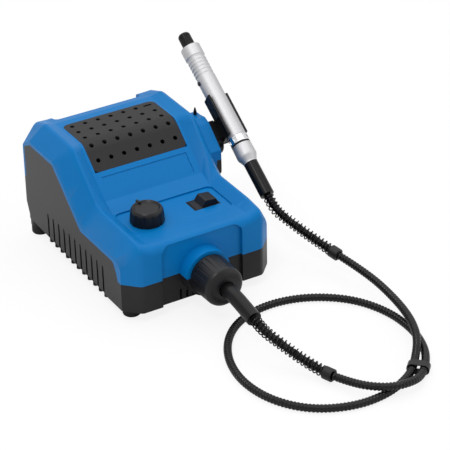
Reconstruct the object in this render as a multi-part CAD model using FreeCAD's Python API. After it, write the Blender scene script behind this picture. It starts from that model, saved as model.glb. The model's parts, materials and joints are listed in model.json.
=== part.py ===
import FreeCAD, Part
import math
import os

# Bench rotary tool with a hanging handpiece and a flexible shaft, in millimetres.
# X runs across the machine, +Y runs to its back, +Z is up. The origin lies on the
# bench, under the middle of the housing.

Vector = FreeCAD.Vector
UP = Vector(0, 0, 1)
ACROSS = Vector(1, 0, 0)
BACK = Vector(0, 1, 0)
FORWARD = Vector(0, -1, 0)

# Gaps between pieces
running_gap = 0.06
seat_gap = 0.1
body_gap = 0.3

# Housing envelope
body_width = 150.0
body_length = 200.0
foot_height = 9.4
wall = 3.0
crest_inset = 13.3
basin_half_width = 50.0
side_chamfer = 14.0
side_deck_height = 57.0
crest_deck_height = 79.1
basin_deck_height = 71.2
side_top_height = 101.0
crest_top_height = 119.4
basin_top_height = 115.3
side_slope_start = 87.5
crest_slope_start = 78.8
basin_slope_start = 86.0
basin_slope_foot_height = 78.0
side_slope_end = 138.5
crest_slope_end = 120.0
basin_slope_end = 129.9
rear_drop = 8.4
rear_round_start = 16.0
heel_height = 32.0
heel_depth = 5.0
side_edge_front_height = 11.4
side_edge_rear_height = 15.6
side_edge_lean = 33.0
side_edge_backing = 3.6
crest_round_share = 0.22

# Seam between the dark base and the blue cover, measured from the front
front_seam_height = 37.0
seam_rise_start = 19.5
seam_rise_end = 29.0
cover_edge_band = 3.4
rear_seam_height = 59.5

# Front recess, boss, threaded nose and coupling nut on the drive axis
recess_half_width = 41.0
recess_depth = 3.0
recess_top = 70.0
recess_corner = 9.0
drive_axis_height = 36.5
boss_radius = 22.0
boss_length = 13.0
nose_radius = 15.0
nose_bore = 9.2
nut_length = 30.9
nut_rim_radius = 19.3
nut_shoulder_radius = 18.8
nut_dome = 6.0
nut_front_wall = 2.5
flange_thickness = 2.8
nut_hole_radius = 7.6
nut_rib_count = 24
nut_rib_groove = 0.9

# Drive motor
motor_radius = 22.0
motor_can_length = 78.0
motor_can_wall = 1.6
motor_front = -66.0
magnet_thickness = 4.0
armature_length = 40.0
air_gap = 0.8
motor_shaft_radius = 3.0
motor_bearing_radius = 8.0
motor_bearing_width = 6.0
commutator_radius = 8.5
commutator_length = 9.0
brush_size = 4.0
fan_radius = 19.0
fan_width = 9.0
fan_blade_count = 9
socket_radius = 7.0
socket_length = 24.0
core_tip_radius = 2.6
saddle_width = 10.0

# Flexible shaft
casing_diameter = 7.4
casing_bore = 4.2
core_diameter = 3.4
core_gap = 0.28
drive_ferrule_radius = 7.0
ferrule_radius = 6.7
drive_ferrule_end = Vector(0, -187, 30.5)
spring_radius = 4.85
spring_wire = 1.2
spring_pitch = 4.1
spring_turns = 19
collar_radius = 5.8
collar_gap = 0.3
collar_length = 9.0
hand_ferrule_length = 34.9
tie_width = 8.0
tie_thickness = 1.2

# Route of the flexible shaft from the drive ferrule, over the bench in two rounds, up
# to the handpiece. The two ends are added from the ferrules' own places.
shaft_route = [
    (6.5, -220, 21.5), (17, -239, 12), (26.6, -260.2, 7), (34.3, -280.3, 8),
    (41.9, -299.8, 11.5), (57.8, -312.3, 12), (78.2, -312.8, 10.5), (94.4, -303, 5.6), (109.4, -287.8, 5.6),
    (122.3, -266.7, 3.75), (129.6, -238.9, 3.75), (127.6, -203.4, 3.75), (111.8, -169.2, 3.75), (80.1, -144.9, 3.75),
    (44, -137, 3.75), (10.9, -144.9, 3.75), (-14.1, -164.7, 3.75), (-31.5, -194.8, 3.75), (-38, -230, 3.75),
    (-31.1, -265, 3.75), (-10.5, -293.4, 3.75), (22.3, -308.8, 3.75), (55.8, -308.8, 3.75), (85.5, -298.2, 5.6),
    (103, -280.5, 5.6), (117.4, -263.3, 12), (126.4, -242.8, 13.5), (132.4, -220.8, 13.5), (135.7, -195.9, 14),
    (136.3, -170.1, 15.5), (132.9, -142.2, 17.5), (125.5, -113.8, 21.5), (112, -86.3, 33),
]
first_drive_run = 17.0
first_hand_run = 16.5
split_run = 30
tie_run = 9
tie_partner_run = 25

# Handpiece holder on the right side
holder_boss_width = 5.0
pad_seam_lift = 10.7
pivot_from_front = 122.9
pivot_height = 85.7
pivot_radius = 3.0
pivot_head_radius = 4.8
pivot_head_height = 2.6
washer_radius = 5.4
washer_thickness = 0.8
hub_thickness = 6.85
hub_above_pivot = 14.5
hub_below_pivot = 14.5
hub_height = 22.0
clip_length = 43.5
clip_wall = 1.9
clip_lip = 2.0
clip_arm_wall = 2.35
clip_side_rise = 9.0
clip_side_foot = 3.5
clip_front = 71.8
stud_radius = 1.6
stud_height = 6.0

# Handpiece, measured along its axis from the tip of the collet cap
hand_angle = 34.25
pivot_along_hand = 105.3
pivot_below_hand = 16.0
hand_radius = 9.15
nose_band_radius = 9.65
nose_band_end = 27.6
hand_bore = 6.5
cap_length = 14.6
cap_radius = 6.1
cap_rib_count = 16
body_start = 15.5
body_end = 117.8
nose_taper = 0.9
grip_groove_count = 6
grip_groove_start = 29.6
grip_groove_pitch = 3.8
grip_groove_round = 2.0
grip_groove_depth = 0.45
ring_length = 7.3
ring_radius = 9.45
ring_notch_count = 8
o_ring_thickness = 1.6
sleeve_neck_radius = 9.3
sleeve_radius = 9.55
sleeve_length = 15.0
cone_length = 5.0
spindle_radius = 2.5
collet_radius = 2.4
collet_bore = 1.2
hand_bearing_width = 5.0
lock_button_at = 54.3
lock_section_half = 3.5
lock_button_radius = 2.0
lock_travel = 1.5
lock_stem_radius = 1.0
lock_hole_clearance = 0.3
lock_ledge = 3.3
lock_head_inner = 6.2

# Panel, knob and switch
panel_front = 28.0
panel_back = 71.5
panel_depth = 1.2
panel_corner = 6.0
knob_x = -28.2
knob_from_front = 48.3
knob_radius = 15.7
knob_shoulder_radius = 14.9
knob_top_radius = 13.0
knob_height = 14.0
knob_flute_count = 12
knob_flute_radius = 2.6
knob_flute_depth = 0.6
knob_dish = 1.4
knob_pointer_reach = 15.9
knob_pointer_turn = 6.0
dial_shaft_radius = 3.0
dial_body_radius = 8.5
dial_body_height = 8.0
dial_bush_radius = 4.5
dial_nut_radius = 7.0
rocker_x = 29.8
rocker_from_front = 49.5
rocker_length = 26.7
rocker_width = 18.0
rocker_rise = 6.3
rocker_axle_radius = 1.5
switch_depth = 15.0
switch_wall = 1.2

# Vent cover on the slope and the top
vent_half_width = 47.5
vent_thickness = 2.4
vent_slope_foot = 107.5
vent_back = 171.9
vent_corner = 6.0
vent_bend = 12.0
vent_ledge = 4.5
vent_hole_radius = 1.9
vent_hole_columns = 7
vent_hole_pitch = 13.24
vent_first_row = 165.8
vent_row_pitch = 12.5
vent_row_count = 5
badge_margin = 4.0
badge_depth = 0.7

# Base details
side_slot_width = 3.0
side_slot_top = 39.0
side_slot_pitch = 10.7
side_slot_count = 11
side_slot_first = 47.9
side_slot_deepest = 2.2
side_rib_radius = 2.5
side_rib_drop = 5.0
side_rib_inset = 0.5
front_slot_width = 2.2
front_slot_pitch = 6.3
front_slot_first = 8.7
front_slot_top = 20.3
front_slot_step = 3.0
foot_radius = 8.25
foot_inset_front = 12.6
foot_inset_rear = 8.5
foot_from_end_front = 19.8
foot_from_end_rear = 8.5
foot_peg_radius = 3.0
foot_peg_length = 6.0
screw_radius = 1.6
screw_head_radius = 3.0
screw_post_radius = 4.5
screw_inset_x = 15.0
screw_from_front = 33.0
screw_from_back = 34.0
rear_recess_half_width = 45.0
rear_recess_depth = 11.0
rear_recess_floor = 66.0
inlet_radius = 6.0
inlet_height = 44.0
inlet_x = 40.0
board_length = 46.0
board_width = 60.0
board_height = 20.0
board_thickness = 1.6

# Places worked out from the sizes above
half_width = body_width / 2
front = -body_length / 2
back = body_length / 2
crest_x = half_width - crest_inset
recess_face = front + recess_depth
boss_front = recess_face - boss_length
nut_rear = boss_front - 0.6
nut_front = nut_rear - nut_length
boss_out = half_width + holder_boss_width
hand_tilt = math.radians(hand_angle)
to_nose = Vector(0, math.cos(hand_tilt), math.sin(hand_tilt))
to_shaft = to_nose * -1
lift_out = Vector(0, -math.sin(hand_tilt), math.cos(hand_tilt))
hub_left = boss_out + body_gap
hub_right = hub_left + hub_thickness
clip_inner = hand_radius + body_gap
hand_x = hub_right + clip_wall + clip_inner
pivot = Vector(hub_left, front + pivot_from_front, pivot_height)
hand_tip = Vector(hand_x, pivot.y, pivot.z) + to_nose * pivot_along_hand + lift_out * pivot_below_hand
drive_axis = Vector(0, 0, drive_axis_height)


def flat_point(u, v):
    return Vector(u, v, 0)


def corner_edges(points, smallest_cut=0.4):
    # Each point is (u, v, radius). A radius of 0 keeps the corner sharp. The result
    # is a list of (start, middle, end) stretches round the corners, in order.
    stretches = []
    count = len(points)
    for i, (u, v, radius) in enumerate(points):
        corner = flat_point(u, v)
        towards_last = flat_point(*points[i - 1][:2]).sub(corner)
        towards_next = flat_point(*points[(i + 1) % count][:2]).sub(corner)
        if radius == 0:
            stretches.append((corner, None, corner))
            continue
        half_turn = (math.pi - towards_last.getAngle(towards_next)) / 2
        cut = max(radius * math.tan(half_turn), smallest_cut)
        start = corner + towards_last.normalize() * cut
        end = corner + towards_next.normalize() * cut
        middle = None
        if half_turn > 0.002:
            bisector = (towards_last + towards_next).normalize()
            true_radius = cut / math.tan(half_turn)
            middle = corner + bisector * (true_radius / math.cos(half_turn) - true_radius)
        stretches.append((start, middle, end))
    return stretches


def outline(points, place):
    # A closed wire of lines and arcs. place turns a flat point into one in space.
    stretches = corner_edges(points)
    edges = []
    for i, (start, middle, end) in enumerate(stretches):
        if middle is not None:
            edges.append(Part.Arc(place(start), place(middle), place(end)).toShape())
        elif start.distanceToPoint(end) > 0:
            edges.append(Part.LineSegment(place(start), place(end)).toShape())
        following = stretches[(i + 1) % len(stretches)][0]
        edges.append(Part.LineSegment(place(end), place(following)).toShape())
    return Part.Wire(edges)


def side_prism(points, x_from, x_to):
    # A solid with its outline in the Y-Z plane, drawn out along X.
    wire = outline(points, lambda p: Vector(x_from, p.x, p.y))
    return Part.Face(wire).extrude(ACROSS * (x_to - x_from))


def front_prism(points, y_from, y_to):
    # A solid with its outline in the X-Z plane, drawn out along Y.
    wire = outline(points, lambda p: Vector(p.x, y_from, p.y))
    return Part.Face(wire).extrude(BACK * (y_to - y_from))


def plan_prism(points, z_from, z_to):
    # A solid with its outline in the X-Y plane, drawn out along Z.
    wire = outline(points, lambda p: Vector(p.x, p.y, z_from))
    return Part.Face(wire).extrude(UP * (z_to - z_from))


def block(x_from, x_to, y_from, y_to, z_from, z_to):
    return Part.makeBox(x_to - x_from, y_to - y_from, z_to - z_from, Vector(x_from, y_from, z_from))


def rod(start, direction, radius, length):
    return Part.makeCylinder(radius, length, start, direction)


def tube(start, direction, radius, bore, length):
    return rod(start, direction, radius, length).cut(rod(start, direction, bore, length))


def rounded_box(half_u, half_v, corner):
    return [(-half_u, -half_v, corner), (half_u, -half_v, corner), (half_u, half_v, corner), (-half_u, half_v, corner)]


def turned(points, start, direction):
    # A solid of revolution. Points are (distance along the axis, radius).
    side = direction.cross(ACROSS)
    if side.Length < 0.1:
        side = direction.cross(UP)
    side.normalize()
    corners = [start + direction * along + side * radius for along, radius in points]
    wire = Part.makePolygon(corners + [corners[0]])
    return Part.Face(wire).revolve(start, direction, 360)


def ring_of(shape, start, direction, count):
    copies = []
    for i in range(count):
        copy = shape.copy()
        copy.rotate(start, direction, i * 360.0 / count)
        copies.append(copy)
    return copies


def side_profile():
    # Outline of the housing at its sides.
    return [
        (front + side_chamfer, foot_height, 0),
        (front + side_chamfer, side_deck_height, 7),
        (front + 40, side_deck_height, 20),
        (front + side_slope_start, side_deck_height, 10),
        (front + 110, side_deck_height + 19.4, 20),
        (front + side_slope_end, side_top_height, 12),
        (back - rear_round_start + 2, side_top_height, 8),
        (back, side_top_height - rear_drop, 4),
        (back, heel_height, 2),
        (back - heel_depth, 20, 2),
        (back - heel_depth, foot_height, 0),
    ]


def crest_profile():
    # Outline along the two raised rails.
    return [
        (front, foot_height, 0),
        (front, crest_deck_height - 3, 8),
        (front + 24, crest_deck_height, 20),
        (front + crest_slope_start, crest_deck_height, 20),
        (front + 100, crest_deck_height + 20.7, 20),
        (front + crest_slope_end, crest_top_height, 14),
        (back - rear_round_start - 6, crest_top_height, 10),
        (back, crest_top_height - rear_drop, 4),
        (back, heel_height, 2),
        (back - heel_depth, 20, 2),
        (back - heel_depth, foot_height, 0),
    ]


def basin_profile():
    # Outline of the broad middle between the rails.
    return [
        (front, foot_height, 0),
        (front, basin_deck_height + 2, 8),
        (front + 26, basin_deck_height, 20),
        (front + basin_slope_start - 14, basin_deck_height + 0.3, 3),
        (front + basin_slope_start, basin_slope_foot_height, 3),
        (front + basin_slope_end, basin_top_height, vent_bend),
        (back - rear_round_start - 4, basin_top_height - 0.2, 10),
        (back, crest_top_height - rear_drop, 4),
        (back, heel_height, 2),
        (back - heel_depth, 20, 2),
        (back - heel_depth, foot_height, 0),
    ]


def mixed(parts):
    # A profile between others: parts is a list of (share, profile).
    length = len(parts[0][1])
    return [tuple(sum(share * profile[i][k] for share, profile in parts) for k in range(3)) for i in range(length)]


def inset(points, thickness):
    # The same outline moved inwards by a wall's thickness, corner by corner.
    moved = []
    count = len(points)
    for i, (u, v, radius) in enumerate(points):
        here = flat_point(u, v)
        last = here.sub(flat_point(*points[i - 1][:2])).normalize()
        following = flat_point(*points[(i + 1) % count][:2]).sub(here).normalize()
        last_normal = Vector(last.y, -last.x, 0)
        next_normal = Vector(following.y, -following.x, 0)
        step = (last_normal + next_normal) * (thickness / (1 + last_normal.dot(next_normal)))
        corner = here + step
        moved.append((corner.x, corner.y, 0 if radius == 0 else max(radius - thickness, 1.5)))
    return moved


def rail_sections(thickness, crest_at, basin_at, side_at):
    # Sections from the side to the basin, rounded over the crest of the rail.
    basin, crest, side = basin_profile(), crest_profile(), side_profile()
    share = crest_round_share
    sections = [(side_at, side)]
    for i in range(5):
        t = i / 4
        weights = (share * (1 - t) ** 2, 1 - share * ((1 - t) ** 2 + t ** 2), share * t ** 2)
        at = weights[0] * side_at + weights[1] * crest_at + weights[2] * basin_at
        sections.append((at, mixed([(weights[0], side), (weights[1], crest), (weights[2], basin)])))
    sections.append((basin_at, basin))
    if thickness:
        sections = [(at, inset(profile, thickness)) for at, profile in sections]
    return sections


def housing_volume(thickness=0.0):
    # The housing as one solid, or its hollow when a wall thickness is given.
    right = rail_sections(thickness, crest_x - thickness / 2, basin_half_width + thickness / 1.5,
                          half_width - thickness)
    sections = right + [(-at, profile) for at, profile in reversed(right)]
    wires = [outline(profile, lambda p, at=at: Vector(at, p.x, p.y)) for at, profile in sections]
    return Part.makeLoft(wires, True, True)


def seam_points():
    # The seam seen from the side, from front to back.
    return [
        (front - 30, front_seam_height),
        (front + seam_rise_start, front_seam_height),
        (front + seam_rise_start + 2.5, front_seam_height + 7.5),
        (front + seam_rise_end - 3, side_deck_height - 5),
        (front + seam_rise_end, side_deck_height - cover_edge_band),
        (front + side_slope_start + 1.2, side_deck_height - cover_edge_band),
        (front + side_slope_end + 1, side_top_height - cover_edge_band),
        (back - rear_round_start + 1, side_top_height - cover_edge_band),
        (back - wall, side_top_height - rear_drop - 1.3),
        (back - wall, rear_seam_height),
        (back + 30, rear_seam_height),
    ]


def above_seam(lift=0.0):
    points = [(y, z + lift, 0) for y, z in seam_points()]
    space = side_prism(points + [(back + 30, 200, 0), (front - 30, 200, 0)], -120, 120)
    half = rear_recess_half_width + wall
    recess_walls = block(-half - 0.5, half + 0.5, back - rear_recess_depth - wall - 0.5, back + 30,
                         rear_recess_floor - wall - 0.5, 200)
    return space.fuse(recess_walls)


def panel_pocket(grow=0.0, deeper=0.0):
    # The sunk control panel between the rails.
    half = basin_half_width + grow
    low, high = front + panel_front - grow, front + panel_back + grow
    points = [(-half, low, panel_corner), (half, low, panel_corner), (half, high, panel_corner),
              (-half, high, panel_corner)]
    return plan_prism(points, panel_floor() - deeper, basin_deck_height + 20)


def panel_floor():
    return basin_deck_height - panel_depth


def slope_direction():
    run = basin_slope_end - basin_slope_start
    rise = basin_top_height - basin_slope_foot_height
    return Vector(0, run, rise).normalize()


def slope_point(from_front):
    # A point on the basin's slope at a distance from the front.
    share = (from_front - basin_slope_start) / (basin_slope_end - basin_slope_start)
    return (front + from_front, basin_slope_foot_height + share * (basin_top_height - basin_slope_foot_height))


def vent_band(outer, inner, shorten=0.0):
    # The bent plate's section in the Y-Z plane, between two depths under the surface.
    along = slope_direction()
    down = Vector(0, along.z, -along.y)
    foot = slope_point(vent_slope_foot)
    bend = slope_point(basin_slope_end)
    start = Vector(0, foot[0], foot[1]) + along * shorten
    knee = Vector(0, bend[0], bend[1])
    half_turn = math.atan2(along.z, along.y) / 2
    knee_outer = knee + Vector(0, math.tan(half_turn), -1) * outer
    knee_inner = knee + Vector(0, math.tan(half_turn), -1) * inner
    rear = front + vent_back - shorten
    top = basin_top_height
    a, b = start + down * outer, start + down * inner
    return [(a.y, a.z, 0), (knee_outer.y, knee_outer.z, max(vent_bend - outer, 2)), (rear, top - outer, 0),
            (rear, top - inner, 0), (knee_inner.y, knee_inner.z, max(vent_bend - inner, 2)), (b.y, b.z, 0)]


def vent_plate(outer, inner, shorten=0.0, narrow=0.0):
    half = vent_half_width - narrow
    plate = side_prism(vent_band(outer, inner, shorten), -half, half)
    corner = vent_corner - narrow / 2
    trim = plan_prism([(-half, front + vent_slope_foot - 60, 0), (half, front + vent_slope_foot - 60, 0),
                       (half, front + vent_back - shorten, corner), (-half, front + vent_back - shorten, corner)],
                      0, 200)
    return plate.common(trim)


def front_recess(grow=0.0):
    # The shallow panel round the drive boss.
    half = recess_half_width + grow
    top = recess_top + grow
    points = [(-half, foot_height - 5, 0), (half, foot_height - 5, 0), (half, top, recess_corner),
              (-half, top, recess_corner)]
    return front_prism(points, front - 5, recess_face + grow)


def rear_recess(grow=0.0):
    half = rear_recess_half_width + grow
    points = [(-half, back - rear_recess_depth - grow, 5), (half, back - rear_recess_depth - grow, 5),
              (half, back + 10, 0), (-half, back + 10, 0)]
    return plan_prism(points, rear_recess_floor - grow, 200)


def side_boss(x_from, x_to):
    # The raised pad that carries the handpiece holder.
    top = side_top_height + 4.4
    points = [
        (front + 101.6, 58, 6), (front + 101.6, 75.8, 2), (front + 102.1, 85, 3), (front + 123.2, top - 1.6, 4),
        (front + 130.4, top + 1.5, 6), (front + 140, top, 6), (front + 152, top, 6), (front + 152, 58, 6),
    ]
    return side_prism(points, x_from, x_to)


def screw_places():
    places = []
    for x in (-half_width + screw_inset_x, half_width - screw_inset_x):
        for y in (front + screw_from_front, back - screw_from_back):
            places.append((x, y))
    return places


def foot_places():
    places = {}
    for name, side in (("left", -1), ("right", 1)):
        places["foot_front_" + name] = (side * (half_width - foot_inset_front), front + foot_from_end_front)
        places["foot_rear_" + name] = (side * (half_width - foot_inset_rear), back - foot_from_end_rear)
    return places


def hollow():
    # The space inside the housing, kept back from everything sunk into it.
    space = housing_volume(wall)
    space = space.cut(panel_pocket(wall, wall))
    space = space.cut(vent_plate(-5, vent_thickness + wall, -wall, -wall))
    space = space.cut(front_recess(wall))
    return space.cut(rear_recess(wall))


def nose_passage():
    return rod(Vector(0, boss_front - 1, drive_axis_height), BACK, nose_radius + seat_gap, boss_length + 12)


def housing_shell():
    solid = housing_volume()
    boss = rod(Vector(0, boss_front, drive_axis_height), BACK, boss_radius, boss_length + 4)
    solid = solid.cut(front_recess()).cut(rear_recess()).cut(panel_pocket())
    solid = solid.fuse(boss).cut(hollow())
    solid = solid.cut(vent_plate(-8, vent_thickness + seat_gap, -seat_gap, -seat_gap))
    solid = solid.cut(vent_plate(-8, vent_thickness + wall + 12, vent_ledge, vent_ledge))
    return solid.cut(nose_passage())


def badge_panel():
    # The bare, shallow field on the slope below the vent cover.
    along = slope_direction()
    down = Vector(0, along.z, -along.y)
    low = slope_point(basin_slope_start + 2)
    high = slope_point(vent_slope_foot - badge_margin)
    half = vent_half_width - badge_margin
    a, b = Vector(0, low[0], low[1]), Vector(0, high[0], high[1])
    corners = [a - down * 4, b - down * 4, b + down * badge_depth, a + down * badge_depth]
    return side_prism([(p.y, p.z, 0) for p in corners], -half, half)


def pivot_post():
    # The solid boss inside the cover that the pivot screw is driven into.
    return rod(Vector(crest_x - 2, pivot.y, pivot.z), ACROSS, pivot_radius + 3, half_width - crest_x + 2)


def pivot_pilot():
    return rod(Vector(boss_out + 1, pivot.y, pivot.z), ACROSS * -1, pivot_radius - 0.1, 21)


def above_pad_seam():
    # On the pad the seam runs a step higher than on the side wall.
    return above_seam(pad_seam_lift).fuse(block(0, 120, front, back, side_top_height - cover_edge_band, 200))


def upper_housing(shell):
    cover = shell.common(above_seam())
    pad = side_boss(crest_x - 2, half_width).cut(hollow()).common(above_seam())
    pad = pad.fuse(side_boss(half_width, boss_out).common(above_pad_seam()))
    cover = cover.fuse(pad).fuse(pivot_post())
    cover = cover.cut(badge_panel())
    cover = cover.cut(rod(Vector(knob_x, knob_y, panel_floor() - 10), UP, dial_bush_radius + seat_gap, 20))
    cover = cover.cut(block(rocker_x - rocker_length / 2, rocker_x + rocker_length / 2, rocker_y - rocker_width / 2,
                            rocker_y + rocker_width / 2, panel_floor() - 10, panel_floor() + 5))
    cover = cover.cut(pivot_pilot())
    cover = cover.cut(rod(Vector(stud_x, stud_y, stud_seat), UP, stud_radius, 20))
    for x, y in screw_places():
        ceiling = side_deck_height - cover_edge_band - 8
        post = rod(Vector(x, y, ceiling), UP, screw_post_radius, 70)
        pilot = rod(Vector(x, y, ceiling - 1), UP, screw_radius - 0.1, 15)
        cover = cover.fuse(post.common(housing_volume(wall / 2)).cut(below_cover())).cut(pilot)
    return cover


def below_cover():
    # What the screw posts of the cover may not fill: the sunk panel and its wall.
    return panel_pocket(0, 0).fuse(rear_recess())


def lower_housing(shell):
    base = shell.cut(above_seam())
    flange = side_boss(half_width, boss_out).cut(above_pad_seam())
    base = base.fuse(flange).cut(pivot_post()).cut(pivot_pilot())
    inside = housing_volume()
    for side in (-1, 1):
        base = base.fuse(side_edge_space(side, side_edge_backing).common(inside).cut(above_seam()))
        base = base.cut(side_edge_space(side, 0.0))
    for i in range(side_slot_count):
        y = front + side_slot_first + i * side_slot_pitch
        for side in (-1, 1):
            base = base.fuse(side_slot_rib(side, y)).cut(side_slot(side, y))
    for i in range(3):
        for side in (-1, 1):
            x = side * (front_slot_first + i * front_slot_pitch)
            top = front_slot_top - (2 - i) * front_slot_step
            base = base.cut(block(x - front_slot_width / 2, x + front_slot_width / 2, front - 1,
                                  recess_face + wall + 1, foot_height + 0.8, top))
    for x, y in foot_places().values():
        base = base.fuse(rod(Vector(x, y, foot_height + wall - 0.5), UP, foot_peg_radius + 2.5, foot_peg_length - 1.5)
                         .common(housing_volume()))
        base = base.cut(rod(Vector(x, y, foot_height - 1), UP, foot_peg_radius, foot_peg_length + 1))
    for x, y in screw_places():
        top = side_deck_height - cover_edge_band - 8 - seat_gap
        base = base.fuse(rod(Vector(x, y, foot_height), UP, screw_post_radius, top - foot_height))
        base = base.cut(rod(Vector(x, y, foot_height - 1), UP, screw_radius + seat_gap, top))
        base = base.cut(rod(Vector(x, y, foot_height - 1), UP, screw_head_radius + body_gap, 9))
    for x in (-board_width / 2 + 5, board_width / 2 - 5):
        for y in board_ends():
            base = base.fuse(rod(Vector(x, y, foot_height + wall - 0.5), UP, 3.0,
                                 board_height - foot_height - wall + 0.5))
    for y in saddle_places():
        base = base.fuse(motor_saddle(y))
    return base.cut(rod(Vector(inlet_x, back + 1, inlet_height), FORWARD, inlet_radius + seat_gap, wall + 12))


def side_edge_height(y):
    # Height of the side wall's lower edge behind the front step.
    share = (y - front - side_slot_first) / (back - front - side_slot_first)
    return side_edge_front_height + share * (side_edge_rear_height - side_edge_front_height)


def around_feet(grow):
    # The stubs under which the feet sit, kept when the edges beside them are cut.
    stubs = [rod(Vector(x, y, foot_height - 2), UP, foot_radius + grow, 30) for x, y in foot_places().values()]
    return Part.makeCompound(stubs)


def side_edge_space(side, backing):
    # The leaning bevel under the side wall, higher towards the back. A backing moves it
    # inwards, to thicken the wall behind it.
    low = foot_height - 1.5
    wires = []
    for y in (front + side_slot_first, back + 2):
        top = side_edge_height(y) + backing
        inwards = math.tan(math.radians(side_edge_lean)) * (top - low)
        corners = [Vector(half_width, y, top), Vector(half_width + 2, y, top), Vector(half_width + 2, y, low),
                   Vector(half_width - inwards, y, low)]
        wires.append(Part.makePolygon(corners + corners[:1]))
    space = Part.makeLoft(wires, True, True)
    if side < 0:
        space = space.mirror(Vector(0, 0, 0), ACROSS)
    return space if backing else space.cut(around_feet(0.4))


def side_slot(side, y):
    # A slot that grows deeper towards its lower end.
    low = side_edge_height(y) - 4
    points = [(half_width + 1, low), (half_width + 1, side_slot_top), (half_width - 0.4, side_slot_top),
              (half_width - side_slot_deepest, low)]
    start = y - side_slot_width / 2
    slot = front_prism([(side * x, z, 0) for x, z in points], start, start + side_slot_width)
    return slot


def side_slot_rib(side, y):
    # The rounded rib behind a slot. Its lower end hangs a little below the wall.
    start = side_edge_height(y) - side_rib_drop
    x = side * (half_width - side_rib_inset - side_rib_radius)
    return rod(Vector(x, y, start), UP, side_rib_radius, side_slot_top - 3 - start)


def saddle_places():
    first = motor_front + 12
    return (first, motor_front + motor_can_length - 12 - saddle_width)


def motor_saddle(y):
    # A cradle in the base that the motor lies in.
    bed = block(-motor_radius - 3, motor_radius + 3, y, y + saddle_width, foot_height + wall - 0.5,
                drive_axis_height - 6)
    return bed.cut(rod(Vector(0, y - 1, drive_axis_height), BACK, motor_radius + seat_gap, saddle_width + 2))


def board_ends():
    board_front = motor_front + motor_can_length + 22
    return (board_front + 5, board_front + board_length - 13)


def vent_cover():
    cover = vent_plate(0, vent_thickness)
    along = slope_direction()
    normal = Vector(0, -along.z, along.y)
    start = -(vent_hole_columns - 1) / 2 * vent_hole_pitch
    for row in range(vent_row_count):
        y_from_front = vent_first_row - row * vent_row_pitch
        on_slope = y_from_front < basin_slope_end - 6
        for column in range(vent_hole_columns):
            x = start + column * vent_hole_pitch
            if on_slope:
                y, z = slope_point(y_from_front)
                hole = rod(Vector(x, y, z) - normal * 6, normal, vent_hole_radius, 12)
            else:
                y = front + y_from_front
                hole = rod(Vector(x, y, basin_top_height - 6), UP, vent_hole_radius, 12)
            if row == 0 and column == vent_hole_columns - 1:
                hole = hole.fuse(hole.translated(ACROSS * 6)).fuse(
                    block(x, x + 6, y - vent_hole_radius, y + vent_hole_radius, basin_top_height - 6,
                          basin_top_height + 6))
                hole.translate(ACROSS * -4)
            cover = cover.cut(hole)
    return cover


def foot(x, y):
    body = turned([(0, 0), (0, foot_radius - 1.4), (0.5, foot_radius - 0.5), (1.6, foot_radius),
                   (foot_height, foot_radius), (foot_height, foot_peg_radius - 0.05),
                   (foot_height + foot_peg_length - 0.3, foot_peg_radius - 0.05),
                   (foot_height + foot_peg_length - 0.3, 0)], Vector(x, y, 0), UP)
    return body


def housing_screws():
    screws = []
    for x, y in screw_places():
        head_top = foot_height + 8 - 0.05
        start = Vector(x, y, head_top)
        stem_end = side_deck_height - cover_edge_band - 8 + 12
        screw = rod(start, UP, screw_radius - 0.15, stem_end - head_top)
        head = rod(start - UP * 2.4, UP, screw_head_radius, 2.4)
        slot = block(x - 2, x + 2, y - 0.4, y + 0.4, head_top - 2.5, head_top - 1.4)
        cross = block(x - 0.4, x + 0.4, y - 2, y + 2, head_top - 2.5, head_top - 1.4)
        screws.append(screw.fuse(head).cut(slot).cut(cross))
    return Part.makeCompound(screws)


def threaded_nose():
    # The fixed threaded bush that the coupling nut screws on.
    start = Vector(0, recess_face + wall + 4, drive_axis_height)
    length = start.y - (ferrule_root + seat_gap)
    flange_start = recess_face + wall + 0.05
    body = rod(start, FORWARD, nose_radius, length)
    flange = rod(Vector(0, flange_start + 3.5, drive_axis_height), FORWARD, nose_radius + 5, 3.5)
    bore = rod(start + BACK, FORWARD, nose_bore, length + 2)
    flat = flange.common(block(-40, 40, front, back, drive_axis_height - nose_radius - 3, 200))
    return body.fuse(flat).cut(bore)


def nut_rib_depth_ring(start, length):
    groove = rod(start + UP * (nut_rim_radius + 0.3), FORWARD, nut_rib_groove, length)
    return ring_of(groove, start, BACK, nut_rib_count)


def coupling_nut():
    start = Vector(0, nut_rear, drive_axis_height)
    ribbed = nut_length - nut_dome
    dome = []
    for i in range(7):
        turn = math.radians(15 * i)
        along = ribbed + nut_dome * math.sin(turn)
        dome.append((along, nut_hole_radius + (nut_shoulder_radius - nut_hole_radius) * math.cos(turn)))
    inner = nose_radius + running_gap
    pocket_end = nut_length - nut_dome - nut_front_wall
    points = [(0, inner), (0, nut_rim_radius - 0.6), (0.8, nut_rim_radius)] + dome
    points += [(nut_length, nut_hole_radius), (pocket_end, nut_hole_radius), (pocket_end, inner)]
    body = turned(remove_repeats(points), start, FORWARD)
    for groove in nut_rib_depth_ring(start + FORWARD * 3.5, ribbed - 4.5):
        body = body.cut(groove)
    return body


def remove_repeats(points):
    kept = [points[0]]
    for point in points[1:]:
        if abs(point[0] - kept[-1][0]) + abs(point[1] - kept[-1][1]) > 0.001:
            kept.append(point)
    return kept


def motor_can():
    start = Vector(0, motor_front, drive_axis_height)
    can = tube(start, BACK, motor_radius, motor_radius - motor_can_wall, motor_can_length)
    lid = tube(start, BACK, motor_radius, motor_bearing_radius + seat_gap / 2, 3)
    cup = tube(start + FORWARD * 4, BACK, motor_bearing_radius + 2, motor_bearing_radius + seat_gap / 2, 4.01)
    stop = tube(start + FORWARD * 5.2, BACK, motor_bearing_radius + 2, motor_shaft_radius + 1.5, 1.21)
    return can.fuse(lid).fuse(cup).fuse(stop)


def motor_rear():
    return motor_front + motor_can_length


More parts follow.
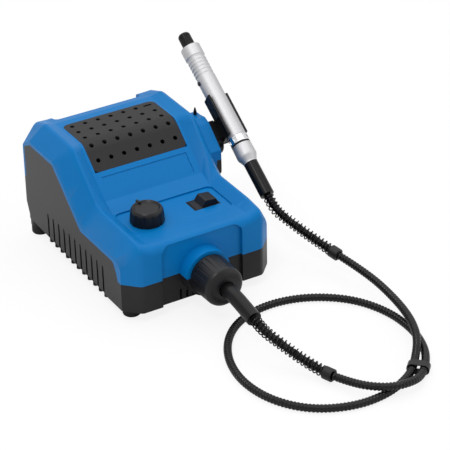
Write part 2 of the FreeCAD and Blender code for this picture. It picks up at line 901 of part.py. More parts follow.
def motor_end_cap():
    start = Vector(0, motor_rear(), drive_axis_height)
    lid = tube(start, BACK, motor_radius, motor_bearing_radius + seat_gap / 2, 3)
    ring = tube(start + FORWARD * 2, BACK, motor_radius - motor_can_wall - seat_gap, motor_radius - 5, 2.01)
    cup = tube(start + BACK * 2.99, BACK, motor_bearing_radius + 2, motor_bearing_radius + seat_gap / 2, 4)
    stop = tube(start + BACK * 6.98, BACK, motor_bearing_radius + 2, motor_shaft_radius + 1.5, 1.2)
    return lid.fuse(ring).fuse(cup).fuse(stop)


def magnet_outer():
    return motor_radius - motor_can_wall - 0.05


def field_magnets():
    start = Vector(0, armature_front() - 2, drive_axis_height)
    ring = tube(start, BACK, magnet_outer(), magnet_outer() - magnet_thickness, armature_length + 4)
    gap = block(-3, 3, front, back, 0, 100)
    return ring.cut(gap)


def armature_front():
    return motor_front + 14


def armature():
    start = Vector(0, armature_front(), drive_axis_height)
    radius = magnet_outer() - magnet_thickness - air_gap
    core = tube(start, BACK, radius, motor_shaft_radius + 0.02, armature_length)
    slot = block(-1.2, 1.2, start.y - 1, start.y + armature_length + 1, drive_axis_height + 6,
                 drive_axis_height + radius + 1)
    for cut in ring_of(slot, start, BACK, 12):
        core = core.cut(cut)
    return core


def armature_windings():
    # The copper coils that show past both ends of the laminated core.
    radius = magnet_outer() - magnet_thickness - air_gap - 2
    ends = []
    for y in (armature_front() - 5, armature_front() + armature_length):
        ends.append(tube(Vector(0, y, drive_axis_height), BACK, radius, motor_shaft_radius + 0.02, 5))
    return Part.makeCompound(ends)


def commutator_front():
    return armature_front() + armature_length + 5.5


def commutator():
    start = Vector(0, commutator_front(), drive_axis_height)
    drum = tube(start, BACK, commutator_radius, motor_shaft_radius + 0.02, commutator_length)
    bar_gap = block(-0.3, 0.3, start.y - 1, start.y + commutator_length - 2, drive_axis_height + 5.5,
                    drive_axis_height + commutator_radius + 1)
    for cut in ring_of(bar_gap, start, BACK, 12):
        drum = drum.cut(cut)
    return drum


def brushes():
    y = commutator_front() + commutator_length / 2 - brush_size / 2
    length = magnet_outer() - seat_gap - commutator_radius - running_gap
    left = block(-commutator_radius - running_gap - length, -commutator_radius - running_gap, y, y + brush_size,
                 drive_axis_height - brush_size / 2, drive_axis_height + brush_size / 2)
    return Part.makeCompound([left, left.mirror(Vector(0, 0, 0), ACROSS)])


def motor_bearing(start):
    return tube(start, BACK, motor_bearing_radius, motor_shaft_radius + running_gap, motor_bearing_width)


def shaft_front():
    return recess_face + 4


def fan_front():
    return motor_rear() + 9.5


def motor_shaft():
    start = Vector(0, shaft_front(), drive_axis_height)
    return rod(start, BACK, motor_shaft_radius, fan_front() + fan_width + 1 - start.y)


def cooling_fan():
    start = Vector(0, fan_front(), drive_axis_height)
    hub = tube(start, BACK, 6, motor_shaft_radius + 0.02, fan_width)
    plate = tube(start, BACK, fan_radius, 5, 1.5)
    fan = hub.fuse(plate)
    blade = block(-0.7, 0.7, start.y + 1, start.y + fan_width, drive_axis_height + 5, drive_axis_height + fan_radius)
    blade.rotate(Vector(0, start.y, drive_axis_height + 5), BACK, 20)
    for piece in ring_of(blade, start, BACK, fan_blade_count):
        fan = fan.fuse(piece)
    return fan.common(rod(start, BACK, fan_radius, fan_width))


def socket_front():
    return shaft_front() - 10


def drive_socket():
    # The sleeve on the motor's shaft that the core of the flexible shaft plugs into.
    start = Vector(0, socket_front(), drive_axis_height)
    body = rod(start, BACK, socket_radius, socket_length)
    body = body.cut(rod(start + BACK * (shaft_front() - socket_front()), BACK, motor_shaft_radius + 0.02,
                        socket_length))
    return body.cut(square_bar(start + FORWARD, BACK, core_tip_radius + 0.05, 9))


def square_bar(start, direction, half, length):
    # A square bar whose corners lie at the given radius times the root of two.
    side = direction.cross(ACROSS)
    if side.Length < 0.1:
        side = direction.cross(UP)
    side.normalize()
    other = direction.cross(side)
    corners = [start + side * (a * half) + other * (b * half) for a, b in ((1, 1), (-1, 1), (-1, -1), (1, -1))]
    return Part.Face(Part.makePolygon(corners + [corners[0]])).extrude(direction * length)


def drive_tip():
    # The squared end of the core, with the collar that keeps it in the ferrule.
    start = Vector(0, socket_front() + 7, drive_axis_height)
    square = square_bar(start, FORWARD, core_tip_radius, 14)
    collar = rod(start + FORWARD * 13, FORWARD, core_tip_radius * 1.5, 3)
    stem_end = core_start_y + seat_gap
    stem = rod(start + FORWARD * 15, FORWARD, core_diameter / 2, start.y - 15 - stem_end)
    return square.fuse(collar).fuse(stem)


def straight_edge(a, b):
    return Part.LineSegment(a, b).toShape()


def route_edges(points, show=""):
    # Straight runs joined by tangent arcs, each as large as its two runs allow.
    places = [Vector(*p) if not isinstance(p, Vector) else p for p in points]
    edges = []
    radii = []
    last_end = places[0]
    for i in range(1, len(places) - 1):
        before = places[i - 1].sub(places[i])
        after = places[i + 1].sub(places[i])
        half_turn = (math.pi - before.getAngle(after)) / 2
        cut = 0.45 * min(before.Length, after.Length)
        radius = cut / math.tan(half_turn)
        radii.append(radius)
        start = places[i] + before.normalize() * cut
        end = places[i] + after.normalize() * cut
        bisector = (before + after).normalize()
        middle = places[i] + bisector * (radius / math.cos(half_turn) - radius)
        edges.append(straight_edge(last_end, start))
        edges.append(Part.Arc(start, middle, end).toShape())
        last_end = end
    edges.append(straight_edge(last_end, places[-1]))
    if show:
        print(show, "arc radii", [round(r, 1) for r in radii])
    return edges


def swept_tube(edges, radius):
    wire = Part.Wire(edges)
    start = wire.OrderedEdges[0].firstVertex().Point
    direction = edges[0].tangentAt(edges[0].FirstParameter)
    circle = Part.Wire(Part.Circle(start, direction, radius).toShape())
    return wire.makePipeShell([circle], True, False)


def compare_volume(name, solid, area, length):
    print(name, "length", round(length, 1), "volume over section times length",
          round(solid.Volume / (area * length), 4))


def circle_area(radius):
    return math.pi * radius * radius


def path_frames(edges, distance):
    # Point and tangent of a path at a distance from its start.
    left = distance
    for edge in edges:
        if left <= edge.Length:
            parameter = edge.getParameterByLength(max(left, 0))
            return edge.valueAt(parameter), edge.tangentAt(parameter).normalize()
        left -= edge.Length
    return edges[-1].valueAt(edges[-1].LastParameter), edges[-1].tangentAt(edges[-1].LastParameter).normalize()


def arc_through(start, tangent, end):
    # An arc from start, leaving along tangent, to end.
    chord = end.sub(start)
    half = chord.Length / 2
    direction = Vector(chord).normalize()
    bend = math.acos(max(-1.0, min(1.0, direction.dot(tangent))))
    if bend < 1e-6:
        return straight_edge(start, end)
    across = tangent.sub(direction * direction.dot(tangent)).normalize()
    middle = start + direction * half + across * (half * math.tan(bend / 2))
    return Part.Arc(start, middle, end).toShape()


def biarc(start, tangent_a, end, tangent_b):
    chord = end.sub(start)
    both = tangent_a + tangent_b
    spread = 2 * (1 - tangent_a.dot(tangent_b))
    along = chord.dot(both)
    reach = (-along + math.sqrt(along * along + spread * chord.dot(chord))) / spread
    joint = (start + tangent_a * reach + end - tangent_b * reach) * 0.5
    first = arc_through(start, tangent_a, joint)
    second = arc_through(end, tangent_b * -1, joint)
    return [first, second]


def spring_along(edges, begin, turns, name):
    # A round wire wound about a bent line, four steps to a turn.
    steps = turns * 4
    length = turns * spring_pitch
    centre, tangent = path_frames(edges, begin)
    side = tangent.cross(ACROSS).normalize()
    points = []
    directions = []
    for i in range(steps + 1):
        centre, tangent = path_frames(edges, begin + length * i / steps)
        side = side.sub(tangent * side.dot(tangent)).normalize()
        other = tangent.cross(side)
        phase = i * math.pi / 2
        outwards = side * math.cos(phase) + other * math.sin(phase)
        onwards = other * math.cos(phase) - side * math.sin(phase)
        points.append(centre + outwards * spring_radius)
        rise = tangent * (spring_pitch / (2 * math.pi * spring_radius))
        directions.append((onwards + rise).normalize())
    lead = points[0] - directions[0] * spring_wire
    tail = points[-1] + directions[-1] * spring_wire
    wire_edges = [straight_edge(lead, points[0])]
    for i in range(steps):
        wire_edges += biarc(points[i], directions[i], points[i + 1], directions[i + 1])
    wire_edges.append(straight_edge(points[-1], tail))
    nearest = min(points[i].distanceToPoint(points[j]) for i in range(steps) for j in range(i + 3, steps + 1))
    print(name, "least gap to itself", round(nearest - spring_wire, 2))
    wire = Part.Wire(wire_edges)
    circle = Part.Wire(Part.Circle(lead, directions[0], spring_wire / 2).toShape())
    return wire.makePipeShell([circle], True, False)


def sleeve_on(edges, begin, length, radius, bore):
    # A short straight sleeve centred on the path.
    middle, tangent = path_frames(edges, begin + length / 2)
    return tube(middle - tangent * (length / 2), tangent, radius, bore, length)


def drive_ferrule_points():
    return [Vector(0, ferrule_root, drive_axis_height), Vector(0, nut_front - 14, drive_axis_height),
            drive_ferrule_end]


def drive_end_direction():
    points = drive_ferrule_points()
    return points[-1].sub(points[-2]).normalize()


def shaft_ferrule_drive():
    # The end fitting that the coupling nut holds, bent slightly by its own weight.
    edges = route_edges(drive_ferrule_points())
    body = swept_tube(edges, drive_ferrule_radius)
    flange = rod(Vector(0, ferrule_root, drive_axis_height), FORWARD, nose_bore + 3, flange_thickness)
    bore = swept_tube(edges, core_diameter / 2 + core_gap)
    return body.fuse(flange).cut(bore)


def grip_line():
    return hand_tip + to_shaft * (body_end + ring_length)


def hand_ferrule_start():
    return hand_tip + to_shaft * (body_end + ring_length + 0.2 + sleeve_length + cone_length + 1.2)


def hand_ferrule_end():
    return hand_ferrule_start() + to_shaft * hand_ferrule_length


def full_route():
    # From the drive ferrule's inner end to the hand ferrule's inner end.
    hand_end = hand_ferrule_end()
    middle = [Vector(*p) for p in shaft_route]
    first = drive_ferrule_end + drive_end_direction() * first_drive_run
    return [drive_ferrule_end, first] + middle + [hand_end + to_shaft * first_hand_run, hand_end]


def split_route():
    points = full_route()
    middle = (points[split_run] + points[split_run + 1]) * 0.5
    return points[:split_run + 1] + [middle], [middle] + points[split_run + 1:]


def casing(edges, name):
    outer = swept_tube(edges, casing_diameter / 2)
    inner = swept_tube(edges, casing_bore / 2)
    length = sum(edge.Length for edge in edges)
    compare_volume(name, outer, circle_area(casing_diameter / 2), length)
    return outer.cut(inner)


def core(edges, name):
    solid = swept_tube(edges, core_diameter / 2)
    compare_volume(name, solid, circle_area(core_diameter / 2), sum(edge.Length for edge in edges))
    return solid


def shaft_tie():
    # The band that holds the two rounds together where they run side by side.
    points = full_route()
    a = (points[tie_run] + points[tie_run + 1]) * 0.5
    along = points[tie_run + 1].sub(points[tie_run]).normalize()
    other_from, other_to = points[tie_partner_run], points[tie_partner_run + 1]
    run = other_to.sub(other_from)
    share = a.sub(other_from).dot(along) / run.dot(along)
    b = other_from + run * share
    inner = casing_diameter / 2 + seat_gap * 2
    outer = inner + tie_thickness
    start_a, start_b = a - along * (tie_width / 2), b - along * (tie_width / 2)
    band = stadium(start_a, start_b, along, outer).cut(stadium(start_a, start_b, along, inner))
    return band


def stadium(a, b, along, radius):
    across = b.sub(a)
    across = across.sub(along * across.dot(along)).normalize()
    up = along.cross(across)
    a1, a2 = a + up * radius, a - up * radius
    b1, b2 = b + up * radius, b - up * radius
    edges = [straight_edge(a1, b1), Part.Arc(b1, b + across * radius, b2).toShape(), straight_edge(b2, a2),
             Part.Arc(a2, a - across * radius, a1).toShape()]
    return Part.Face(Part.Wire(edges)).extrude(along * tie_width)


def at_hand(along, across=0.0, up=0.0):
    # A point by its distance from the cap's tip, to the right and towards the clip's mouth.
    return hand_tip + to_shaft * along + ACROSS * across + lift_out * up


def collet_cap():
    points = [(0, collet_radius + 0.15), (0, cap_radius - 2.2), (0.4, cap_radius - 1.3), (1.2, cap_radius - 0.55),
              (2.4, cap_radius - 0.1), (cap_length - 0.6, cap_radius), (cap_length, cap_radius - 0.5), (cap_length, spindle_radius + running_gap),
              (4, spindle_radius + running_gap), (3, collet_radius + 0.15)]
    cap = turned(points, hand_tip, to_shaft)
    groove = rod(at_hand(3) + lift_out * (cap_radius + 0.25), to_shaft, 0.55, cap_length - 5)
    for cut in ring_of(groove, hand_tip, to_nose, cap_rib_count):
        cap = cap.cut(cut)
    return cap


def collet():
    body = tube(at_hand(-0.6), to_shaft, collet_radius, collet_bore, 12)
    slit = block(-0.25, 0.25, -4, 4, -1, 8)
    body_slits = []
    for turn in (0, 90):
        cut = slit.copy()
        cut.rotate(Vector(0, 0, 0), UP, turn)
        body_slits.append(cut)
    placement = FreeCAD.Placement(at_hand(-0.6), FreeCAD.Rotation(UP, to_shaft))
    for cut in body_slits:
        cut.Placement = placement.multiply(cut.Placement)
        body = body.cut(cut)
    return body


def spindle_end():
    return body_end + 3


def spindle():
    # The front length of the spindle, with the collet's seat.
    start = 4.5
    body = rod(at_hand(start), to_shaft, spindle_radius, lock_button_at - lock_section_half - 0.02 - start)
    body = body.cut(rod(at_hand(start - 1), to_shaft, collet_radius + 0.03, 8))
    body = body.cut(rod(at_hand(start), to_shaft, collet_bore, 16))
    collar = tube(at_hand(front_bearing_at() + hand_bearing_width + 0.1), to_shaft, spindle_radius + 0.7,
                  spindle_radius - 0.5, 3)
    return body.fuse(collar)


def spindle_lock_section():
    # The short middle length with the cross hole that the lock button's stem enters.
    body = rod(at_hand(lock_button_at - lock_section_half), to_shaft, spindle_radius, lock_section_half * 2)
    return body.cut(rod(at_hand(lock_button_at, -10), ACROSS, lock_stem_radius + lock_hole_clearance, 20))


def front_bearing_at():
    return body_start + 4.6


def rear_bearing_at():
    return body_end - hand_bearing_width - 3


def hand_bearing(along):
    return tube(at_hand(along), to_shaft, hand_bore - seat_gap / 2, spindle_radius + running_gap, hand_bearing_width)


def handpiece_body():
    points = [(body_start, nose_band_radius - 0.9), (body_start + nose_taper, nose_band_radius),
              (nose_band_end, nose_band_radius), (nose_band_end + 0.6, hand_radius), (body_end, hand_radius),
              (body_end, hand_bore), (body_start + 4.5, hand_bore), (body_start + 4.5, spindle_radius + 1.4),
              (body_start, spindle_radius + 1.4)]
    body = turned(points, hand_tip, to_shaft)
    for i in range(grip_groove_count):
        along = grip_groove_start + i * grip_groove_pitch
        body = body.cut(Part.makeTorus(hand_radius + grip_groove_round - grip_groove_depth, grip_groove_round,
                                       at_hand(along), to_nose))
    post = rod(at_hand(lock_button_at, -lock_ledge), ACROSS * -1, lock_button_radius + 1.2,
               hand_bore + 0.5 - lock_ledge)
    hole = rod(at_hand(lock_button_at, -lock_ledge - 0.8), ACROSS * -1, lock_button_radius + running_gap, 10)
    stem_hole = rod(at_hand(lock_button_at, 0), ACROSS * -1, lock_stem_radius + running_gap, 10)
    return body.fuse(post).cut(hole).cut(stem_hole)


def lock_button():
    outer = hand_radius + 0.9
    head = rod(at_hand(lock_button_at, -outer), ACROSS, lock_button_radius, outer - lock_head_inner)
    stem = rod(at_hand(lock_button_at, -outer + 1), ACROSS, lock_stem_radius,
               outer - 1 - spindle_radius - 0.4)
    return head.fuse(stem)


def lock_spring():
    # A washer-shaped wave spring under the button's head, round its stem.
    far = lock_head_inner - 0.02
    near = lock_ledge + 0.8 + 0.02
    start = at_hand(lock_button_at, -far)
    return tube(start, ACROSS, lock_stem_radius + 0.8, lock_stem_radius + 0.15, far - near)


def lock_ring():
    # The bright notched ring between the body and the rear sleeve.
    points = [(body_end + 0.1, spindle_radius + 1.5), (body_end + 0.1, ring_radius - 0.4), (body_end + 0.5, ring_radius),
              (body_end + ring_length - 0.5, ring_radius), (body_end + ring_length, ring_radius - 0.5),
              (body_end + ring_length, spindle_radius + 1.5)]
    ring = turned(points, hand_tip, to_shaft)
    notch = block(-1.9, 1.9, ring_radius - 1.0, ring_radius + 1, 1.9, 5.4)
    placement = FreeCAD.Placement(at_hand(body_end + 0.1), FreeCAD.Rotation(UP, to_shaft))
    notch.Placement = placement
    for cut in ring_of(notch, hand_tip, to_nose, ring_notch_count):
        ring = ring.cut(cut)
    return ring


def o_ring():
    centre = at_hand(body_end + ring_length + 0.1 + o_ring_thickness / 2)
    return Part.makeTorus(ring_radius - o_ring_thickness / 2 - 0.2, o_ring_thickness / 2, centre, to_nose)


def rear_sleeve():
    base = body_end + ring_length + 0.1
    neck = ring_radius - o_ring_thickness - 0.35
    o_gap = o_ring_thickness + 0.1
    end = base + sleeve_length
    points = [(base, spindle_radius + 1.5), (base, neck), (base + o_gap, neck),
              (base + o_gap, sleeve_neck_radius), (end - 1.0, sleeve_radius), (end, sleeve_radius - 0.1),
              (end + cone_length, ferrule_radius + 0.1),
              (end + cone_length + 1, ferrule_radius + 0.1), (end + cone_length + 1, ferrule_radius - 1.5),
              (end + cone_length - 4, ferrule_radius - 1.5), (end + cone_length - 4, spindle_radius + 3.5),
              (base + 1, spindle_radius + 3.5), (base + 1, spindle_radius + 1.5)]
    return turned(points, hand_tip, to_shaft)


def spindle_coupling():
    # The rear length of the spindle, with the coupling to the core at its driven end.
    start = spindle_end() + 0.05
    front_end = lock_button_at + lock_section_half + 0.02
    body = rod(at_hand(front_end), to_shaft, spindle_radius, start + 0.5 - front_end)
    body = body.fuse(rod(at_hand(start), to_shaft, spindle_radius + 1.2, 3))
    return body.fuse(rod(at_hand(start + 2.9), to_shaft, core_diameter / 2, core_stop() - 0.4 - start - 2.9))


def core_stop():
    # Where the long core of the flexible shaft meets the driven end.
    return body_end + ring_length + sleeve_length + cone_length + 8


def shaft_ferrule_hand():
    start = hand_ferrule_start()
    body = rod(start, to_shaft, ferrule_radius, hand_ferrule_length)
    spigot = rod(start - to_shaft * 5.5, to_shaft, ferrule_radius - 1.6, 6)
    bore = rod(start - to_shaft * 6, to_shaft, core_diameter / 2 + core_gap, hand_ferrule_length + 7)
    return body.fuse(spigot).cut(bore)


def hub_plate():
    # The pivoting plate, along the handpiece, with a rounded lower end.
    half = hub_height / 2
    wire = outline([(-hub_above_pivot, -half, 2), (hub_below_pivot, -half, half - 0.2),
                    (hub_below_pivot, half, half - 0.2), (-hub_above_pivot, half, 2)],
                   lambda p: Vector(hub_left, pivot.y, pivot.z) + to_shaft * p.x + lift_out * p.y)
    return Part.Face(wire).extrude(ACROSS * (hub_thickness + 0.01))


def handpiece_clip():
    # The open trough that the handpiece is pressed into, on its hub.
    outer = clip_inner + clip_wall
    arm = clip_inner + clip_arm_wall
    stretch = clip_length
    start = at_hand(clip_front)
    full = rod(start, to_shaft, arm, stretch).common(box_on_hand(start, -outer, arm, -arm, clip_lip, stretch))
    arms = box_on_hand(start, 0, arm, 0, clip_lip, stretch)
    side = box_on_hand(start, -outer, -clip_inner, -clip_side_foot, clip_side_rise, stretch)
    channel = rod(start - to_shaft, to_shaft, clip_inner, stretch + 2)
    mouth = box_on_hand(start - to_shaft, -clip_inner, clip_inner, 0, outer + 5, stretch + 2)
    trough = full.fuse(arms).fuse(side).cut(channel).cut(mouth)
    hub = hub_plate()
    joined_from = pivot_along_hand - hub_above_pivot + 2
    joined_length = clip_front + clip_length - joined_from
    web = box_on_hand(at_hand(joined_from), -outer, -outer + 2.5, -outer + 0.9, -4, joined_length)
    bridge = box_on_hand(at_hand(joined_from), -outer, 0, -outer, -clip_inner - 0.5, joined_length)
    clip = trough.fuse(hub).fuse(web).fuse(bridge)
    clip = clip.cut(rod(start - to_shaft, to_shaft, clip_inner, stretch + 2))
    clip = clip.cut(rod(Vector(hub_left - 1, pivot.y, pivot.z), ACROSS, pivot_radius + running_gap, hub_thickness + 30))
    sink = rod(Vector(hub_right - pivot_head_height - washer_thickness - 0.3, pivot.y, pivot.z), ACROSS,
               washer_radius + body_gap, pivot_head_height + washer_thickness + 0.31)
    return clip.cut(sink)


def box_on_hand(start, x_from, x_to, up_from, up_to, length):
    corners = [(x_from, up_from), (x_to, up_from), (x_to, up_to), (x_from, up_to)]
    places = [start + ACROSS * x + lift_out * up for x, up in corners]
    return Part.Face(Part.makePolygon(places + [places[0]])).extrude(to_shaft * length)


def head_face():
    return hub_right - pivot_head_height - 0.2


def pivot_screw():
    start = Vector(head_face(), pivot.y, pivot.z)
    head = rod(start, ACROSS, pivot_head_radius, pivot_head_height)
    stem = rod(start, ACROSS * -1, pivot_radius, head_face() - boss_out)
    thread = rod(Vector(boss_out, pivot.y, pivot.z), ACROSS * -1, pivot_radius - 0.15, 18)
    slot = block(start.x + pivot_head_height - 1, start.x + pivot_head_height + 1, pivot.y - 0.7, pivot.y + 0.7,
                 pivot.z - 8, pivot.z + 8)
    return head.fuse(stem).fuse(thread).cut(slot)


def pivot_washer():
    start = Vector(head_face() - washer_thickness - 0.02, pivot.y, pivot.z)
    return tube(start, ACROSS, washer_radius, pivot_radius + seat_gap, washer_thickness)


def pad_stud():
    # The small pointed stud that stands on the pad.
    tip = side_top_height + 5.9 + stud_height - stud_seat - 0.1
    return turned([(0, 0), (0, stud_radius - 0.05), (tip - 4, stud_radius - 0.05), (tip, 0.5), (tip, 0)],
                  Vector(stud_x, stud_y, stud_seat + 0.1), UP)


def speed_knob():
    start = Vector(knob_x, knob_y, panel_floor() + body_gap)
    points = [(0, 0), (0, knob_radius - 0.4), (0.8, knob_radius), (knob_height - 3.4, knob_shoulder_radius),
              (knob_height - 2.0, knob_shoulder_radius - 0.4), (knob_height - 0.9, knob_shoulder_radius - 1.0),
              (knob_height, knob_top_radius), (knob_height, knob_top_radius - 0.8),
              (knob_height - knob_dish, knob_top_radius - 2.4), (knob_height - knob_dish, 0)]
    knob = turned(points, start, UP)
    lean = Vector(0, knob_shoulder_radius - knob_radius, knob_height - 3.4).normalize()
    flute = rod(start + BACK * (knob_radius + knob_flute_radius - knob_flute_depth) - lean, lean,
                knob_flute_radius, knob_height - 1.5)
    flute.rotate(start, UP, 180.0 / knob_flute_count + knob_pointer_turn)
    for cut in ring_of(flute, start, UP, knob_flute_count):
        knob = knob.cut(cut)
    pointer = block(-1.0, 1.0, knob_top_radius - 2.6, knob_pointer_reach, knob_height - 3.2, knob_height + 0.3)
    pointer.rotate(Vector(0, 0, 0), UP, knob_pointer_turn)
    pointer.translate(start)
    knob = knob.fuse(pointer)
    under = rod(start - UP, UP, dial_nut_radius + 1.5, 5)
    return knob.cut(under).cut(rod(start, UP, dial_shaft_radius + 0.03, knob_height - 4))


def dial_bush_top():
    return panel_floor() + 3.2


def potentiometer():
    top = panel_floor() - wall - 0.05
    body = rod(Vector(knob_x, knob_y, top), UP * -1, dial_body_radius, dial_body_height)
    bush = rod(Vector(knob_x, knob_y, top), UP, dial_bush_radius, dial_bush_top() - top)
    lugs = block(knob_x - 6, knob_x + 6, knob_y - dial_body_radius - 5, knob_y - dial_body_radius + 2,
                 top - dial_body_height, top - dial_body_height + 1)
    bore = rod(Vector(knob_x, knob_y, top - 4), UP, dial_shaft_radius + running_gap, 40)
    return body.fuse(bush).fuse(lugs).cut(bore)


def potentiometer_nut():
    sides = [Vector(dial_nut_radius * math.cos(math.radians(60 * i)), dial_nut_radius * math.sin(math.radians(60 * i)), 0)
             for i in range(6)]
    start = Vector(knob_x, knob_y, panel_floor() + 0.02)
    wire = Part.makePolygon([start + p for p in sides + sides[:1]])
    nut = Part.Face(wire).extrude(UP * 2)
    return nut.cut(rod(start - UP, UP, dial_bush_radius + 0.05, 5))


def potentiometer_shaft():
    start = Vector(knob_x, knob_y, panel_floor() - wall - 3.5)
    return rod(start, UP, dial_shaft_radius, panel_floor() + body_gap + knob_height - 4.2 - start.z)


def switch_frame():
    # A box set flush into the panel, held by a flange under it.
    half_x, half_y = rocker_length / 2, rocker_width / 2
    z = panel_floor()
    under = z - wall - 0.05
    flange = block(rocker_x - half_x - 1.6, rocker_x + half_x + 1.6, rocker_y - half_y - 1.6, rocker_y + half_y + 1.6,
                   under - 1.5, under)
    body = block(rocker_x - half_x + 0.15, rocker_x + half_x - 0.15, rocker_y - half_y + 0.15,
                 rocker_y + half_y - 0.15, z - switch_depth, z + 0.2)
    well = block(rocker_x - half_x + switch_wall, rocker_x + half_x - switch_wall, rocker_y - half_y + switch_wall,
                 rocker_y + half_y - switch_wall, z - switch_depth + 3.5, z + 5)
    frame = flange.fuse(body).cut(well)
    for x in (-6, 0, 6):
        frame = frame.fuse(block(rocker_x + x - 0.4, rocker_x + x + 0.4, rocker_y - 2.4, rocker_y + 2.4,
                                 z - switch_depth - 6, z - switch_depth + 0.5))
    inner = half_y - switch_wall
    for start, direction in ((rocker_y - inner - 0.3, BACK), (rocker_y + inner + 0.3, FORWARD)):
        frame = frame.fuse(rod(Vector(rocker_x, start, rocker_axle_height()), direction, rocker_axle_radius, 2.0))
    return frame


def rocker_axle_height():
    return panel_floor() - 3.0


def switch_rocker():
    # One end of the rocker stands up, the other lies level with the panel. Both ends
    # are rounded about the axle so that they clear the box as it rocks.
    half_y = rocker_width / 2 - switch_wall - body_gap
    reach = rocker_length / 2 - switch_wall - 0.25
    z = rocker_axle_height()
    low, high = 3.2, 3.0 + rocker_rise
    points = [(-reach, -4.0, 0.8), (0, -6.4, 3), (reach, -4.0, 0.8), (reach, 5.6, 0), (9.8, high - 1.2, 1.2),
              (-1.2, high, 1.6), (-5.6, low, 1), (-reach, low, 0)]
    body = front_prism([(rocker_x + u, z + v, r) for u, v, r in points], rocker_y - half_y, rocker_y + half_y)
    axle = Vector(rocker_x, rocker_y - 20, z)
    over_rim = block(rocker_x - 9.8, rocker_x + 9.8, rocker_y - 20, rocker_y + 20, z + 6.5, z + high + 1)
    body = body.common(rod(axle, BACK, reach, 40).fuse(over_rim))
    return body.cut(rod(axle, BACK, rocker_axle_radius + running_gap, 40))


def inlet_gland():
    # The closed cable entry at the back.
    start = Vector(inlet_x, back + 3.5, inlet_height)
    cap = rod(start, FORWARD, inlet_radius + 2, 3.4)
    stem = rod(start + FORWARD * 3.3, FORWARD, inlet_radius, wall + 6)
    bore = rod(start + BACK, FORWARD, 3.4, 30)
    ring = tube(start + FORWARD * (3.5 + wall + 0.1), FORWARD, inlet_radius + 2, inlet_radius - 0.5, 2.5)
    return cap.fuse(stem).fuse(ring).cut(bore)


def control_board():
    board_front = board_ends()[0] - 5
    top = board_height + 0.02
    return block(-board_width / 2, board_width / 2, board_front, board_front + board_length - 8, top,
                 top + board_thickness)


def board_parts():
    # The heat sink, capacitor and choke that stand on the board.
    board_front = board_ends()[0] - 5
    top = board_height + board_thickness + 0.04
    sink = block(-24, -18, board_front + 8, board_front + 30, top, top + 22)
    for i in range(4):
        y = board_front + 10 + i * 5.5
        sink = sink.fuse(block(-18, -10, y, y + 1.5, top, top + 22))
    capacitor = rod(Vector(2, board_front + 12, top), UP, 6, 18)
    choke = tube(Vector(18, board_front + 16, top), UP, 8, 3.5, 8)
    return Part.makeCompound([sink, capacitor, choke])


knob_y = front + knob_from_front
rocker_y = front + rocker_from_front
ferrule_root = nut_front + nut_dome + nut_front_wall + seat_gap + flange_thickness
core_start_y = ferrule_root + 3
stud_x = boss_out - 4
stud_y = front + 142
stud_seat = side_top_height - 2


def core_lead_in():
    # The core starts inside the drive ferrule.
    return [Vector(0, core_start_y, drive_axis_height), drive_ferrule_points()[1]]


def shaft_pieces():
    lower_points, upper_points = split_route()
    lower = route_edges(lower_points, "lower shaft")
    upper = route_edges(upper_points, "upper shaft")
    ferrule_path = route_edges(drive_ferrule_points())
    upper_length = sum(edge.Length for edge in upper)
    spring_length = spring_turns * spring_pitch
    hand_spring_end = upper_length - 1.0
    hand_spring_start = hand_spring_end - spring_length
    pieces = {
        "shaft_casing_lower": casing(lower, "casing_lower"),
        "shaft_casing_upper": casing(upper, "casing_upper"),
        "drive_core_lower": core(route_edges(core_lead_in() + lower_points[1:]), "core_lower"),
        "drive_core_upper": core(upper + [straight_edge(hand_ferrule_end(), at_hand(core_stop()))], "core_upper"),
        "shaft_spring_drive": spring_along(lower, 1.0, spring_turns, "drive spring"),
        "shaft_spring_hand": spring_along(upper, hand_spring_start, spring_turns, "hand spring"),
        "spring_collar_drive": sleeve_on(lower, 1.0 + spring_length + 1.4, collar_length, collar_radius,
                                         casing_diameter / 2 + collar_gap),
        "spring_collar_hand": sleeve_on(upper, hand_spring_start - 1.4 - collar_length, collar_length,
                                        collar_radius, casing_diameter / 2 + collar_gap),
        "shaft_ferrule_drive": shaft_ferrule_drive(),
        "shaft_ferrule_hand": shaft_ferrule_hand(),
        "shaft_tie": shaft_tie(),
    }
    total = sum(edge.Length for edge in lower + upper + ferrule_path)
    print("flexible shaft length", round(total, 1))
    return pieces


